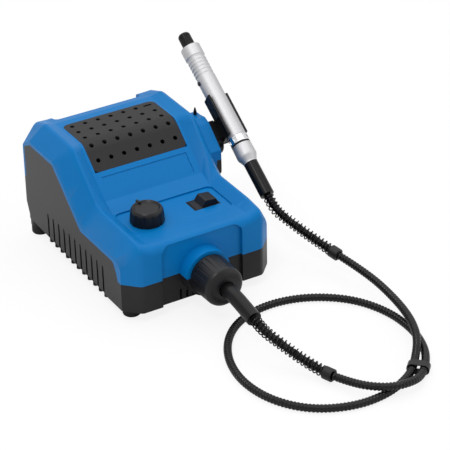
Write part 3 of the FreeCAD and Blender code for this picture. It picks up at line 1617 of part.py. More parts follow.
def all_pieces():
    shell = housing_shell()
    pieces = {
        "upper_housing": upper_housing(shell),
        "lower_housing": lower_housing(shell),
        "vent_cover": vent_cover(),
        "housing_screws": housing_screws(),
        "threaded_nose": threaded_nose(),
        "coupling_nut": coupling_nut(),
        "motor_can": motor_can(),
        "motor_end_cap": motor_end_cap(),
        "field_magnets": field_magnets(),
        "armature": armature(),
        "armature_windings": armature_windings(),
        "commutator": commutator(),
        "carbon_brushes": brushes(),
        "motor_shaft": motor_shaft(),
        "motor_front_bearing": motor_bearing(Vector(0, motor_front - 3.9, drive_axis_height)),
        "motor_rear_bearing": motor_bearing(Vector(0, motor_rear() + 0.9, drive_axis_height)),
        "cooling_fan": cooling_fan(),
        "drive_socket": drive_socket(),
        "drive_tip": drive_tip(),
        "control_board": control_board(),
        "board_components": board_parts(),
        "potentiometer": potentiometer(),
        "potentiometer_nut": potentiometer_nut(),
        "potentiometer_shaft": potentiometer_shaft(),
        "speed_knob": speed_knob(),
        "switch_frame": switch_frame(),
        "switch_rocker": switch_rocker(),
        "cable_inlet": inlet_gland(),
        "handpiece_clip": handpiece_clip(),
        "pivot_screw": pivot_screw(),
        "pivot_washer": pivot_washer(),
        "pad_stud": pad_stud(),
        "collet_cap": collet_cap(),
        "collet": collet(),
        "spindle": spindle(),
        "spindle_lock_section": spindle_lock_section(),
        "spindle_coupling": spindle_coupling(),
        "handpiece_body": handpiece_body(),
        "handpiece_front_bearing": hand_bearing(front_bearing_at()),
        "handpiece_rear_bearing": hand_bearing(rear_bearing_at()),
        "lock_button": lock_button(),
        "lock_spring": lock_spring(),
        "lock_ring": lock_ring(),
        "o_ring": o_ring(),
        "rear_sleeve": rear_sleeve(),
    }
    for name, (x, y) in foot_places().items():
        pieces[name] = foot(x, y)
    pieces.update(shaft_pieces())
    return pieces


os.makedirs("parts", exist_ok=True)
for piece_name, shape in all_pieces().items():
    solids = shape.Solids
    result = solids[0] if len(solids) == 1 else Part.makeCompound(solids)
    result.exportStep("parts/" + piece_name + ".step")
    state = "valid" if result.isValid() else "NOT VALID"
    print(piece_name, len(solids), "solid", round(result.Volume / 1000, 2), "cm3", state)
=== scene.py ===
import json
import math

import bmesh
import bpy
from mathutils import Matrix, Vector

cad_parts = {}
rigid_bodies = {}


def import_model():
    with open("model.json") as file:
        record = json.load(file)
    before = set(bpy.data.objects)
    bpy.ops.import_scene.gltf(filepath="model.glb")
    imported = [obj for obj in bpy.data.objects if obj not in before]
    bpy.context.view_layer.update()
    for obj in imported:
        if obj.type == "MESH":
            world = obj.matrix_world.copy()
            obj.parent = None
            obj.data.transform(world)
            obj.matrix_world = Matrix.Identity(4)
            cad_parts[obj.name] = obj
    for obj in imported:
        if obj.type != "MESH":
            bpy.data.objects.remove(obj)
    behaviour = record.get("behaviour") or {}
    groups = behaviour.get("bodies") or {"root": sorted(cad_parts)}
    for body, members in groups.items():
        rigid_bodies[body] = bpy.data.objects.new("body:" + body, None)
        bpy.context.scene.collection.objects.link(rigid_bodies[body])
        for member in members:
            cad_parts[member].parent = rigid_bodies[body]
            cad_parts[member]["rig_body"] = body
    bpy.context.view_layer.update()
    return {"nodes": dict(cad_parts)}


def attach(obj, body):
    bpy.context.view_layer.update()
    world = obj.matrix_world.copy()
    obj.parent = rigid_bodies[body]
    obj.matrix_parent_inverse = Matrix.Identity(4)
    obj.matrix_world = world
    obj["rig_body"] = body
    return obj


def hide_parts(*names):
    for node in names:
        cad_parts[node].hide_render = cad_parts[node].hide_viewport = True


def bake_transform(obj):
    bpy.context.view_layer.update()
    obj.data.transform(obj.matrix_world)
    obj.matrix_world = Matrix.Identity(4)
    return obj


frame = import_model()
nodes = frame["nodes"]
scene = bpy.context.scene
print("frame loaded,", len(nodes), "nodes")

camera = {
    "place": (-0.8172, -1.55192, 1.06312),
    "right": (0.85976463, -0.51035737, -0.01844288),
    "down": (-0.27305219, -0.42887453, -0.86110925),
    "forward": (0.43156377, 0.74538714, -0.50808535),
    "lens": 177.03,
    "sensor": 36,
    "nearest": 0.05,
    "farthest": 50,
}


def addCamera():
    data = bpy.data.cameras.new("camera")
    data.lens = camera["lens"]
    data.sensor_width = camera["sensor"]
    data.clip_start = camera["nearest"]
    data.clip_end = camera["farthest"]
    thing = bpy.data.objects.new("camera", data)
    right, up, back = Vector(camera["right"]), -Vector(camera["down"]), -Vector(camera["forward"])
    turn = Matrix((right, up, back)).transposed()
    thing.matrix_world = Matrix.Translation(Vector(camera["place"])) @ turn.to_4x4()
    scene.collection.objects.link(thing)
    scene.camera = thing


addCamera()


def linearColour(code, alpha=1.0):
    # sRGB hex to the linear values that the shaders take
    parts = [int(code[i:i + 2], 16) / 255 for i in (1, 3, 5)]
    return tuple(c / 12.92 if c <= 0.04045 else ((c + 0.055) / 1.055) ** 2.4 for c in parts) + (alpha,)


def addNode(tree, kind, settings=None, links=None):
    # settings: attributes by name, or inputs by "in:" and their name; links: input name to output socket
    node = tree.nodes.new(kind)
    for name, value in (settings or {}).items():
        if name.startswith("in:"):
            node.inputs[name[3:]].default_value = value
        else:
            setattr(node, name, value)
    for name, output in (links or {}).items():
        key = int(name) if name.isdigit() else name
        tree.links.new(output, node.inputs[key])
    return node


finishes = {
    # moulded ABS with a fine spark texture: an even deep colour under soft, broad highlights
    "mouldedBlueAbs": {"colour": "#0072B6", "deeper": "#006CAF", "rough": 0.4, "grainMm": 0.45, "bump": 0.05,
                       "specular": 0.14},
    # glass-filled black nylon of the base: dark from the front, grey where it is seen aslant
    "mouldedBlackAbs": {"colour": "#1F1E20", "deeper": "#1A191B", "rough": 0.38, "grainMm": 0.5, "bump": 0.08,
                        "specular": 0.24},
    # vent cover with a spark-eroded leather grain that breaks up its shine
    "grainedVentAbs": {"colour": "#201F21", "deeper": "#1A1A1C", "rough": 0.42, "grainMm": 1.1, "bump": 0.22,
                       "specular": 0.22},
    # knob, switch and nut: the darkest, smoother ABS, with a soft bright top
    "blackKnobAbs": {"colour": "#111114", "deeper": "#0D0D10", "rough": 0.36, "grainMm": 0.35, "bump": 0.03,
                     "specular": 0.28},
    # acetal of the holder and the ferrules, waxy and near black
    "blackAcetal": {"colour": "#0B0B0E", "deeper": "#08080A", "rough": 0.28, "grainMm": 0.4, "bump": 0.02,
                    "specular": 0.18},
    # nitrile feet, matt with a dusty bloom
    "blackNitrile": {"colour": "#161617", "deeper": "#1E1E1F", "rough": 0.75, "grainMm": 0.8, "bump": 0.1,
                     "specular": 0.3},
    # PVC jacket of the shaft: black, with a line of light along its ribs
    "ribbedPvc": {"colour": "#070708", "deeper": "#040405", "rough": 0.15, "grainMm": 0.6, "bump": 0.02,
                  "specular": 0.24},
}
plasticDetail = {
    "cloudScale": 28.0,         # patches about 36 mm wide, between the two tones
    "smoother": 0.05,
    "rougher": 0.06,
    "bumpHeight": 0.0003,
    "ior": 1.5,
}


def plasticFinish(name):
    look = finishes[name]
    material = bpy.data.materials.new(name)
    material.use_nodes = True
    tree = material.node_tree
    tree.nodes.clear()
    place = addNode(tree, "ShaderNodeTexCoord")
    grain = {"in:Scale": 1000 / look["grainMm"], "in:Detail": 3.0, "in:Roughness": 0.6}
    cloud = {"in:Scale": plasticDetail["cloudScale"], "in:Detail": 2.0}
    fine = addNode(tree, "ShaderNodeTexNoise", grain, {"Vector": place.outputs["Object"]})
    broad = addNode(tree, "ShaderNodeTexNoise", cloud, {"Vector": place.outputs["Object"]})
    tone = addNode(tree, "ShaderNodeMix", {"data_type": "RGBA"}, {"0": broad.outputs["Fac"]})
    tone.inputs[6].default_value = linearColour(look["colour"])
    tone.inputs[7].default_value = linearColour(look["deeper"])
    span = {"in:To Min": look["rough"] - plasticDetail["smoother"],
            "in:To Max": look["rough"] + plasticDetail["rougher"]}
    rough = addNode(tree, "ShaderNodeMapRange", span, {"Value": fine.outputs["Fac"]})
    relief = {"in:Strength": look["bump"], "in:Distance": plasticDetail["bumpHeight"]}
    bump = addNode(tree, "ShaderNodeBump", relief, {"Height": fine.outputs["Fac"]})
    gloss = {"in:IOR": plasticDetail["ior"], "in:Specular IOR Level": look["specular"]}
    shader = addNode(tree, "ShaderNodeBsdfPrincipled", gloss,
                     {"Base Color": tone.outputs[2], "Roughness": rough.outputs["Result"],
                      "Normal": bump.outputs["Normal"]})
    addNode(tree, "ShaderNodeOutputMaterial", {}, {"Surface": shader.outputs["BSDF"]})
    return material


metals = {
    # bead-blasted, clear anodised aluminium: pale, even, soft shine
    "blastedAluminium": {"colour": "#B4B4B6", "rough": 0.55, "scratch": 0.04, "grainMm": 0.3, "bump": 0.03},
    # chromed steel of the ring and the collet
    "chromedSteel": {"colour": "#D2D3D5", "rough": 0.14, "scratch": 0.05, "grainMm": 0.8, "bump": 0.01},
    # oil-blackened spring wire
    "blackenedWire": {"colour": "#19191B", "rough": 0.32, "scratch": 0.08, "grainMm": 0.5, "bump": 0.02},
    # turned steel of screws, shafts and the motor
    "turnedSteel": {"colour": "#8C8D90", "rough": 0.3, "scratch": 0.1, "grainMm": 0.5, "bump": 0.04},
}
metalBumpHeight = 0.0002


def metalFinish(name):
    look = metals[name]
    material = bpy.data.materials.new(name)
    material.use_nodes = True
    tree = material.node_tree
    tree.nodes.clear()
    place = addNode(tree, "ShaderNodeTexCoord")
    grain = addNode(tree, "ShaderNodeTexNoise", {"in:Scale": 1000 / look["grainMm"], "in:Detail": 4.0},
                    {"Vector": place.outputs["Object"]})
    span = {"in:To Min": look["rough"] - look["scratch"], "in:To Max": look["rough"] + look["scratch"]}
    rough = addNode(tree, "ShaderNodeMapRange", span, {"Value": grain.outputs["Fac"]})
    relief = {"in:Strength": look["bump"], "in:Distance": metalBumpHeight}
    bump = addNode(tree, "ShaderNodeBump", relief, {"Height": grain.outputs["Fac"]})
    metal = {"in:Metallic": 1.0, "in:Base Color": linearColour(look["colour"])}
    shader = addNode(tree, "ShaderNodeBsdfPrincipled", metal,
                     {"Roughness": rough.outputs["Result"], "Normal": bump.outputs["Normal"]})
    addNode(tree, "ShaderNodeOutputMaterial", {}, {"Surface": shader.outputs["BSDF"]})
    return material


paint = {name: plasticFinish(name) for name in finishes}
paint.update({name: metalFinish(name) for name in metals})
print("finishes made:", len(paint))

# the flexible shaft's line in metres, from the nut's ferrule to the handpiece's
shaftRoute = [
    (0, -0.187, 0.0305), (0, -0.2037, 0.0273), (0.0065, -0.22, 0.0215), (0.017, -0.239, 0.012),
    (0.0266, -0.2602, 0.007), (0.0343, -0.2803, 0.008), (0.0419, -0.2998, 0.0115), (0.0578, -0.3123, 0.012),
    (0.0782, -0.3128, 0.0105), (0.0944, -0.303, 0.0056), (0.1094, -0.2878, 0.0056), (0.1223, -0.2667, 0.00375),
    (0.1296, -0.2389, 0.00375), (0.1276, -0.2034, 0.00375), (0.1118, -0.1692, 0.00375),
    (0.0801, -0.1449, 0.00375), (0.044, -0.137, 0.00375), (0.0109, -0.1449, 0.00375),
    (-0.0141, -0.1647, 0.00375), (-0.0315, -0.1948, 0.00375), (-0.038, -0.23, 0.00375),
    (-0.0311, -0.265, 0.00375), (-0.0105, -0.2934, 0.00375), (0.0223, -0.3088, 0.00375),
    (0.0558, -0.3088, 0.00375), (0.0855, -0.2982, 0.0056), (0.103, -0.2805, 0.0056), (0.1174, -0.2633, 0.012),
    (0.1264, -0.2428, 0.0135), (0.1324, -0.2208, 0.0135), (0.1357, -0.1959, 0.014), (0.1363, -0.1701, 0.0155),
    (0.1329, -0.1422, 0.0175), (0.1255, -0.1138, 0.0215), (0.112, -0.0863, 0.033), (0.0985, -0.06265, 0.04681),
    (0.0985, -0.04901, 0.0561),
]

casingSettings = {
    "diameter": 0.0074,
    "ribPitch": 0.0033,
    "grooveDepth": 0.0006,
    "grooveSharpness": 3.0,
    "step": 0.0003,
    "sides": 20,
    "lineSteps": 20,
    "splitY": -0.183,       # where the casing leaves the bench side and starts to follow the holder
    "splitPast": 0.75,      # the line first comes by there on its way out, before this length
    "handSpringLength": 0.0779,
    "collarLead": 0.006,
}


def routeLine(points):
    # the smooth line through the route, read back as points
    data = bpy.data.curves.new("shaftLine", "CURVE")
    data.dimensions = "3D"
    spline = data.splines.new("NURBS")
    spline.points.add(len(points) - 1)
    for point, place in zip(spline.points, points):
        point.co = (*place, 1)
    spline.order_u = 3
    spline.use_endpoint_u = True
    spline.resolution_u = casingSettings["lineSteps"]
    thing = bpy.data.objects.new("shaftLine", data)
    scene.collection.objects.link(thing)
    graph = bpy.context.evaluated_depsgraph_get()
    mesh = bpy.data.meshes.new_from_object(thing.evaluated_get(graph))
    line = [v.co.copy() for v in mesh.vertices]
    bpy.data.objects.remove(thing)
    bpy.data.meshes.remove(mesh)
    return line


def lengthOf(line):
    return sum((b - a).length for a, b in zip(line, line[1:]))


def cutLine(line, at):
    # two lines that meet at this distance along the given one
    walked = 0
    for i in range(len(line) - 1):
        step = (line[i + 1] - line[i]).length
        if walked + step >= at:
            middle = line[i].lerp(line[i + 1], (at - walked) / step)
            return line[:i + 1] + [middle], [middle] + line[i + 1:]
        walked += step
    return line, []


def distanceAtY(line, low, y):
    # how far along the line, past a distance, it first reaches a value of y
    walked = 0
    for a, b in zip(line, line[1:]):
        if walked > low and (a.y - y) * (b.y - y) <= 0:
            return walked + (b - a).length * (y - a.y) / (b.y - a.y)
        walked += (b - a).length
    return walked


def ribbedSleeveTree():
    # a tube along a line, its radius drawn in by a sharp groove between two ribs
    tree = bpy.data.node_groups.new("ribbedSleeve", "GeometryNodeTree")
    sockets = tree.interface
    sockets.new_socket("Line", in_out="INPUT", socket_type="NodeSocketGeometry")
    for name in ("Radius", "Rib Pitch", "Groove Depth", "Groove Sharpness", "Step", "Start"):
        sockets.new_socket(name, in_out="INPUT", socket_type="NodeSocketFloat")
    sockets.new_socket("Sides", in_out="INPUT", socket_type="NodeSocketInt")
    sockets.new_socket("Material", in_out="INPUT", socket_type="NodeSocketMaterial")
    sockets.new_socket("Sleeve", in_out="OUTPUT", socket_type="NodeSocketGeometry")
    start = tree.nodes.new("NodeGroupInput").outputs
    even = addNode(tree, "GeometryNodeResampleCurve", {"mode": "LENGTH"},
                   {"Curve": start["Line"], "Length": start["Step"]})
    along = addNode(tree, "GeometryNodeSplineParameter")
    shifted = addNode(tree, "ShaderNodeMath", {"operation": "ADD"},
                      {"0": along.outputs["Length"], "1": start["Start"]})
    ribs = addNode(tree, "ShaderNodeMath", {"operation": "DIVIDE"},
                   {"0": shifted.outputs[0], "1": start["Rib Pitch"]})
    turn = addNode(tree, "ShaderNodeMath", {"operation": "MULTIPLY"}, {"0": ribs.outputs[0]})
    turn.inputs[1].default_value = math.pi
    wave = addNode(tree, "ShaderNodeMath", {"operation": "COSINE"}, {"0": turn.outputs[0]})
    size = addNode(tree, "ShaderNodeMath", {"operation": "ABSOLUTE"}, {"0": wave.outputs[0]})
    groove = addNode(tree, "ShaderNodeMath", {"operation": "POWER"},
                     {"0": size.outputs[0], "1": start["Groove Sharpness"]})
    depth = addNode(tree, "ShaderNodeMath", {"operation": "MULTIPLY"},
                    {"0": groove.outputs[0], "1": start["Groove Depth"]})
    radius = addNode(tree, "ShaderNodeMath", {"operation": "SUBTRACT"},
                     {"0": start["Radius"], "1": depth.outputs[0]})
    ring = addNode(tree, "GeometryNodeCurvePrimitiveCircle", {"in:Radius": 1.0}, {"Resolution": start["Sides"]})
    thick = addNode(tree, "GeometryNodeSetCurveRadius", {},
                    {"Curve": even.outputs["Curve"], "Radius": radius.outputs[0]})
    sleeve = addNode(tree, "GeometryNodeCurveToMesh", {"in:Fill Caps": True},
                     {"Curve": thick.outputs["Curve"], "Profile Curve": ring.outputs["Curve"]})
    if "Scale" in sleeve.inputs:
        tree.links.new(radius.outputs[0], sleeve.inputs["Scale"])
    smooth = addNode(tree, "GeometryNodeSetShadeSmooth", {}, {"Geometry": sleeve.outputs["Mesh"]})
    solid = addNode(tree, "GeometryNodeRealizeInstances", {}, {"Geometry": smooth.outputs["Geometry"]})
    painted = addNode(tree, "GeometryNodeSetMaterial", {},
                      {"Geometry": solid.outputs["Geometry"], "Material": start["Material"]})
    addNode(tree, "NodeGroupOutput", {}, {"Sleeve": painted.outputs["Geometry"]})
    return tree


def bakeTree(name, source, tree, values):
    # runs a tree on a curve and keeps the result as a plain mesh
    carrier = bpy.data.objects.new(name + "Source", source)
    scene.collection.objects.link(carrier)
    modifier = carrier.modifiers.new("nodes", "NODES")
    modifier.node_group = tree
    for item in tree.interface.items_tree:
        if item.in_out == "INPUT" and item.name in values:
            modifier[item.identifier] = values[item.name]
    graph = bpy.context.evaluated_depsgraph_get()
    mesh = bpy.data.meshes.new_from_object(carrier.evaluated_get(graph))
    bpy.data.objects.remove(carrier)
    mesh.name = name
    thing = bpy.data.objects.new(name, mesh)
    scene.collection.objects.link(thing)
    return thing


def polyCurve(name, line):
    data = bpy.data.curves.new(name, "CURVE")
    data.dimensions = "3D"
    spline = data.splines.new("POLY")
    spline.points.add(len(line) - 1)
    for point, place in zip(spline.points, line):
        point.co = (*place, 1)
    return data


def ribbedPiece(name, line, offset):
    # offset is the casing's length before this piece, which carries the ribs on in step
    values = {
        "Radius": casingSettings["diameter"] / 2,
        "Rib Pitch": casingSettings["ribPitch"],
        "Groove Depth": casingSettings["grooveDepth"],
        "Groove Sharpness": casingSettings["grooveSharpness"],
        "Step": casingSettings["step"],
        "Start": offset,
        "Sides": casingSettings["sides"],
        "Material": paint["ribbedPvc"],
    }
    piece = bakeTree(name, polyCurve(name, line), sleeveTree, values)
    return piece


cleanUp = {
    "mergeWithin": 0.00001,
    "flatWithin": 0.6,      # degrees, faces that count as one
    "sharpFrom": 28,        # degrees, edges that stay sharp in shading
    "easeFrom": 35,         # degrees, edges that are rounded
    "segments": 2,
}


def smoothBut(piece, degrees):
    # smooth shading, with the edges that turn by more than this kept sharp
    for polygon in piece.data.polygons:
        polygon.use_smooth = True
    piece.data.set_sharp_from_angle(angle=math.radians(degrees))


def copyNode(node, name, finish, bevel=0.0):
    # a CAD node's shape as its own piece: points merged, and where edges are eased, flat faces whole
    mesh = nodes[node].data.copy()
    mesh.name = name
    shape = bmesh.new()
    shape.from_mesh(mesh)
    bmesh.ops.remove_doubles(shape, verts=shape.verts, dist=cleanUp["mergeWithin"])
    if bevel:
        flat = math.radians(cleanUp["flatWithin"])
        bmesh.ops.dissolve_limit(shape, angle_limit=flat, verts=shape.verts, edges=shape.edges)
    shape.to_mesh(mesh)
    shape.free()
    mesh.materials.clear()
    mesh.materials.append(paint[finish])
    piece = bpy.data.objects.new(name, mesh)
    scene.collection.objects.link(piece)
    smoothBut(piece, cleanUp["sharpFrom"])
    if bevel:
        ease = piece.modifiers.new("easedEdges", "BEVEL")
        ease.width = bevel
        ease.segments = cleanUp["segments"]
        ease.limit_method = "ANGLE"
        ease.angle_limit = math.radians(cleanUp["easeFrom"])
        ease.use_clamp_overlap = True
        ease.miter_outer = "MITER_ARC"
        even = piece.modifiers.new("evenNormals", "WEIGHTED_NORMAL")
        even.keep_sharp = True
    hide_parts(node)
    return piece


def rideAs(piece, node):
    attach(piece, nodes[node]["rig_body"])
    return piece


line = routeLine(shaftRoute)
whole = lengthOf(line)
benchLength = distanceAtY(line, casingSettings["splitPast"], casingSettings["splitY"])
benchLine, rest = cutLine(line, benchLength)
swingLength = lengthOf(rest) - casingSettings["handSpringLength"] - casingSettings["collarLead"]
swingLine, handLine = cutLine(rest, swingLength)
sleeveTree = ribbedSleeveTree()
benchCasing = ribbedPiece("benchCasing", benchLine, 0.0)
swingCasing = ribbedPiece("swingCasing", swingLine, benchLength)
handCasing = ribbedPiece("handCasing", handLine, benchLength + swingLength)
print("casing made, %.1f mm in all" % (whole * 1000))

driveSpring = copyNode("shaft_spring_drive", "driveSpring", "blackenedWire")
handSpring = copyNode("shaft_spring_hand", "handSpring", "blackenedWire")
driveCollar = copyNode("spring_collar_drive", "driveCollar", "blackKnobAbs", 0.0004)
handCollar = copyNode("spring_collar_hand", "handCollar", "blackKnobAbs", 0.0004)
strandTie = copyNode("shaft_tie", "strandTie", "blackKnobAbs", 0.0002)

for piece, node in ((driveSpring, "shaft_spring_drive"), (driveCollar, "spring_collar_drive"),
                    (strandTie, "shaft_tie")):
    rideAs(piece, node)
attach(benchCasing, "housing")
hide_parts("shaft_casing_lower", "drive_core_lower")
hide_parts("shaft_casing_upper", "drive_core_upper")
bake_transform(swingCasing)
for piece in (handCasing, handSpring, handCollar):
    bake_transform(piece)

def meshPiece(name, verts, faces, finish):
    mesh = bpy.data.meshes.new(name)
    mesh.from_pydata(verts, [], faces)
    shape = bmesh.new()
    shape.from_mesh(mesh)
    bmesh.ops.recalc_face_normals(shape, faces=shape.faces)
    shape.to_mesh(mesh)
    shape.free()
    mesh.materials.append(paint[finish])
    piece = bpy.data.objects.new(name, mesh)
    scene.collection.objects.link(piece)
    return piece


def cutAway(piece, cutter):
    # takes the cutter's space out of a piece and keeps the result as its mesh
    cut = piece.modifiers.new("cut", "BOOLEAN")
    cut.operation = "DIFFERENCE"
    cut.solver = "EXACT"
    cut.object = cutter
    graph = bpy.context.evaluated_depsgraph_get()
    mesh = bpy.data.meshes.new_from_object(piece.evaluated_get(graph))
    piece.modifiers.clear()
    piece.data = mesh
    bpy.data.objects.remove(cutter)


def rodMesh(places, direction, radius, reach, sides):
    # closed rods through a list of places, as one cutter
    direction = Vector(direction).normalized()
    across = direction.orthogonal().normalized()
    upward = direction.cross(across)
    verts, faces = [], []
    for place in places:
        first = len(verts)
        for end in (-reach, reach):
            for i in range(sides):
                turn = 2 * math.pi * i / sides
                out = across * math.cos(turn) + upward * math.sin(turn)
                verts.append(Vector(place) + direction * end + out * radius)
        for i in range(sides):
            j = (i + 1) % sides
            faces.append((first + i, first + j, first + sides + j, first + sides + i))
        faces.append(tuple(first + i for i in reversed(range(sides))))
        faces.append(tuple(first + sides + i for i in range(sides)))
    return verts, faces


def slotMesh(middle, reach, radius, depth, sides):
    # one upright slot with round ends, as a cutter
    verts, faces = [], []
    for end in (-depth, depth):
        for i in range(sides):
            turn = 2 * math.pi * (i + 0.5) / sides
            shift = reach if math.cos(turn) > 0 else -reach
            verts.append((middle[0] + shift + radius * math.cos(turn), middle[1] + radius * math.sin(turn),
                          middle[2] + end))
    for i in range(sides):
        j = (i + 1) % sides
        faces.append((i, j, sides + j, sides + i))
    faces.append(tuple(reversed(range(sides))))
    faces.append(tuple(range(sides, 2 * sides)))
    return verts, faces


handpiece = {
    "tip": (0.0985, 0.100935, 0.158189),
    "slope": 34.25,             # degrees from level, nose up
    "sides": 120,
    "fit": 0.0001,              # gap between two turned pieces
    "bodyStart": 0.0155,        # lengths are from the tip of the cap, towards the shaft
    "bodyEnd": 0.1178,
    "noseEnd": 0.0276,
    "noseStep": 0.0005,
    "noseRadius": 0.00965,
    "noseRounding": 0.0011,
    "noseFront": 0.0009,
    "noseSteps": 5,
    "radius": 0.00915,
    "edge": 0.0003,
    "bore": 0.0065,
    "frontBore": 0.0039,
    "frontWall": 0.0045,
    "grooves": 6,
    "grooveStart": 0.0296,      # middle of the first one
    "groovePitch": 0.0038,
    "grooveDepth": 0.00042,
    "grooveSteps": 16,
    "buttonAt": 0.0543,
    "buttonHole": 0.00206,
    "buttonReach": 0.004,
    "buttonSides": 32,
    "ringLength": 0.0073,
    "ringRadius": 0.00945,
    "ringBore": 0.004,
    "ringFrontEdge": [(0, 0.0004), (0.0002, 0.0001), (0.0004, 0)],      # length in, drop below the radius
    "ringRearEdge": [(0.0005, 0), (0.0001, 0.0002), (0, 0.0005)],
    "ringNotches": 8,
    "notchFrom": 0.002,
    "notchLength": 0.0035,
    "notchWidth": 0.0038,
    "notchDepth": 0.001,
    "notchPast": 0.001,
    "sleeveNeck": 0.0075,
    "sleeveRadius": 0.00955,
    "sleeveLength": 0.015,
    "sleeveFrontEdge": [(0.0017, 0.0004), (0.002, 0.00022)],
    "sleeveShoulder": [(-0.003, 0), (-0.0016, 0.00004), (-0.0008, 0.0002), (0, 0.0005), (0.0009, 0.001)],
    "coneLength": 0.005,
    "coneEnd": 0.0068,
    "coneSwell": (0.0009, 0.0003),      # a softer last step of the cone
    "coneLip": 0.001,
    "sleeveInside": 0.006,
    "shaftSocket": 0.0052,
    "socketDepth": 0.004,
    "sleeveThroat": 0.004,
    "throatLength": 0.001,
}
slope = math.radians(handpiece["slope"])
toShaft = Vector((0, -math.cos(slope), -math.sin(slope)))
liftOut = Vector((0, -math.sin(slope), math.cos(slope)))
across = Vector((1, 0, 0))


def onHandpiece(along, radius, turn):
    out = liftOut * math.cos(turn) + across * math.sin(turn)
    return Vector(handpiece["tip"]) + toShaft * along + out * radius


def turnedPiece(name, profile, finish):
    # a closed ring of (distance from the tip, radius) turned about the handpiece's axis
    sides, count = handpiece["sides"], len(profile)
    verts = [onHandpiece(a, r, 2 * math.pi * i / sides) for i in range(sides) for a, r in profile]
    faces = []
    for i in range(sides):
        j = (i + 1) % sides
        for k in range(count):
            m = (k + 1) % count
            faces.append((i * count + k, i * count + m, j * count + m, j * count + k))
    return meshPiece(name, verts, faces, finish)


def bodyProfile():
    h = handpiece
    start, end, r = h["bodyStart"], h["bodyEnd"], h["noseRadius"] - h["noseRounding"]
    outline = [(start, h["frontBore"]), (start, r)]
    for i in range(1, h["noseSteps"] + 1):
        turn = math.pi / 2 * i / h["noseSteps"]
        outline.append((start + h["noseFront"] * (1 - math.cos(turn)), r + h["noseRounding"] * math.sin(turn)))
    outline.append((h["noseEnd"] - h["noseStep"], h["noseRadius"]))
    first = h["grooveStart"] - h["groovePitch"] / 2
    for i in range(h["grooves"] * h["grooveSteps"] + 1):
        dip = 0.5 - 0.5 * math.cos(2 * math.pi * i / h["grooveSteps"])
        outline.append((first + h["groovePitch"] * i / h["grooveSteps"], h["radius"] - h["grooveDepth"] * dip))
    outline += [(end - h["edge"], h["radius"]), (end, h["radius"] - h["edge"]), (end, h["bore"])]
    wall = start + h["frontWall"]
    return outline + [(wall, h["bore"]), (wall, h["frontBore"])]


def ringProfile():
    h = handpiece
    start, end, r = h["bodyEnd"] + h["fit"], h["bodyEnd"] + h["ringLength"], h["ringRadius"]
    front = [(start + far, r - drop) for far, drop in h["ringFrontEdge"]]
    rear = [(end - far, r - drop) for far, drop in h["ringRearEdge"]]
    return [(start, h["ringBore"])] + front + rear + [(end, h["ringBore"])]


def notchCutter():
    # one block for each notch round the lock ring
    h = handpiece
    verts, faces = [], []
    start = h["bodyEnd"] + h["notchFrom"]
    for i in range(h["ringNotches"]):
        turn = 2 * math.pi * i / h["ringNotches"]
        out = liftOut * math.cos(turn) + across * math.sin(turn)
        side = toShaft.cross(out)
        first = len(verts)
        for along in (start, start + h["notchLength"]):
            for depth in (h["ringRadius"] - h["notchDepth"], h["ringRadius"] + h["notchPast"]):
                for way in (-0.5, 0.5):
                    middle = Vector(h["tip"]) + toShaft * along + out * depth
                    verts.append(middle + side * way * h["notchWidth"])
        for face in ((0, 1, 3, 2), (4, 6, 7, 5), (0, 4, 5, 1), (2, 3, 7, 6), (0, 2, 6, 4), (1, 5, 7, 3)):
            faces.append(tuple(first + k for k in face))
    return meshPiece("notchCutter", verts, faces, "chromedSteel")


def sleeveProfile():
    h = handpiece
    base = h["bodyEnd"] + h["ringLength"] + h["fit"]
    end, wide = base + h["sleeveLength"], h["sleeveRadius"]
    cone = end + h["coneLength"]
    lip, socket, throat = cone + h["coneLip"], cone - h["socketDepth"], base + h["throatLength"]
    swellBack, swell = h["coneSwell"]
    outline = [(base, h["sleeveThroat"]), (base, h["sleeveNeck"])]
    outline.append((base + h["sleeveFrontEdge"][0][0], h["sleeveNeck"]))
    outline += [(base + far, wide - drop) for far, drop in h["sleeveFrontEdge"]]
    outline += [(end + far, wide - drop) for far, drop in h["sleeveShoulder"]]
    outline += [(cone - swellBack, h["coneEnd"] + swell), (cone, h["coneEnd"]), (lip, h["coneEnd"])]
    outline += [(lip, h["shaftSocket"]), (socket, h["shaftSocket"]), (socket, h["sleeveInside"])]
    return outline + [(throat, h["sleeveInside"]), (throat, h["sleeveThroat"])]


handpieceBody = turnedPiece("handpieceBody", bodyProfile(), "blastedAluminium")
buttonSide = Vector(handpiece["tip"]) + toShaft * handpiece["buttonAt"] - across * handpiece["radius"]
holeVerts, holeFaces = rodMesh([buttonSide], across, handpiece["buttonHole"], handpiece["buttonReach"],
                               handpiece["buttonSides"])
cutAway(handpieceBody, meshPiece("buttonHole", holeVerts, holeFaces, "blastedAluminium"))
lockRing = turnedPiece("lockRing", ringProfile(), "chromedSteel")
cutAway(lockRing, notchCutter())
rearSleeve = turnedPiece("rearSleeve", sleeveProfile(), "blastedAluminium")
for piece, node, slotName, degrees in ((handpieceBody, "handpiece_body", "handpiece_metal", 30),
                                       (lockRing, "lock_ring", "polished_metal", 24),
                                       (rearSleeve, "rear_sleeve", "handpiece_metal", 30)):
    smoothBut(piece, degrees)
    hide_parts(node)
    rideAs(piece, node)
print("handpiece turned")

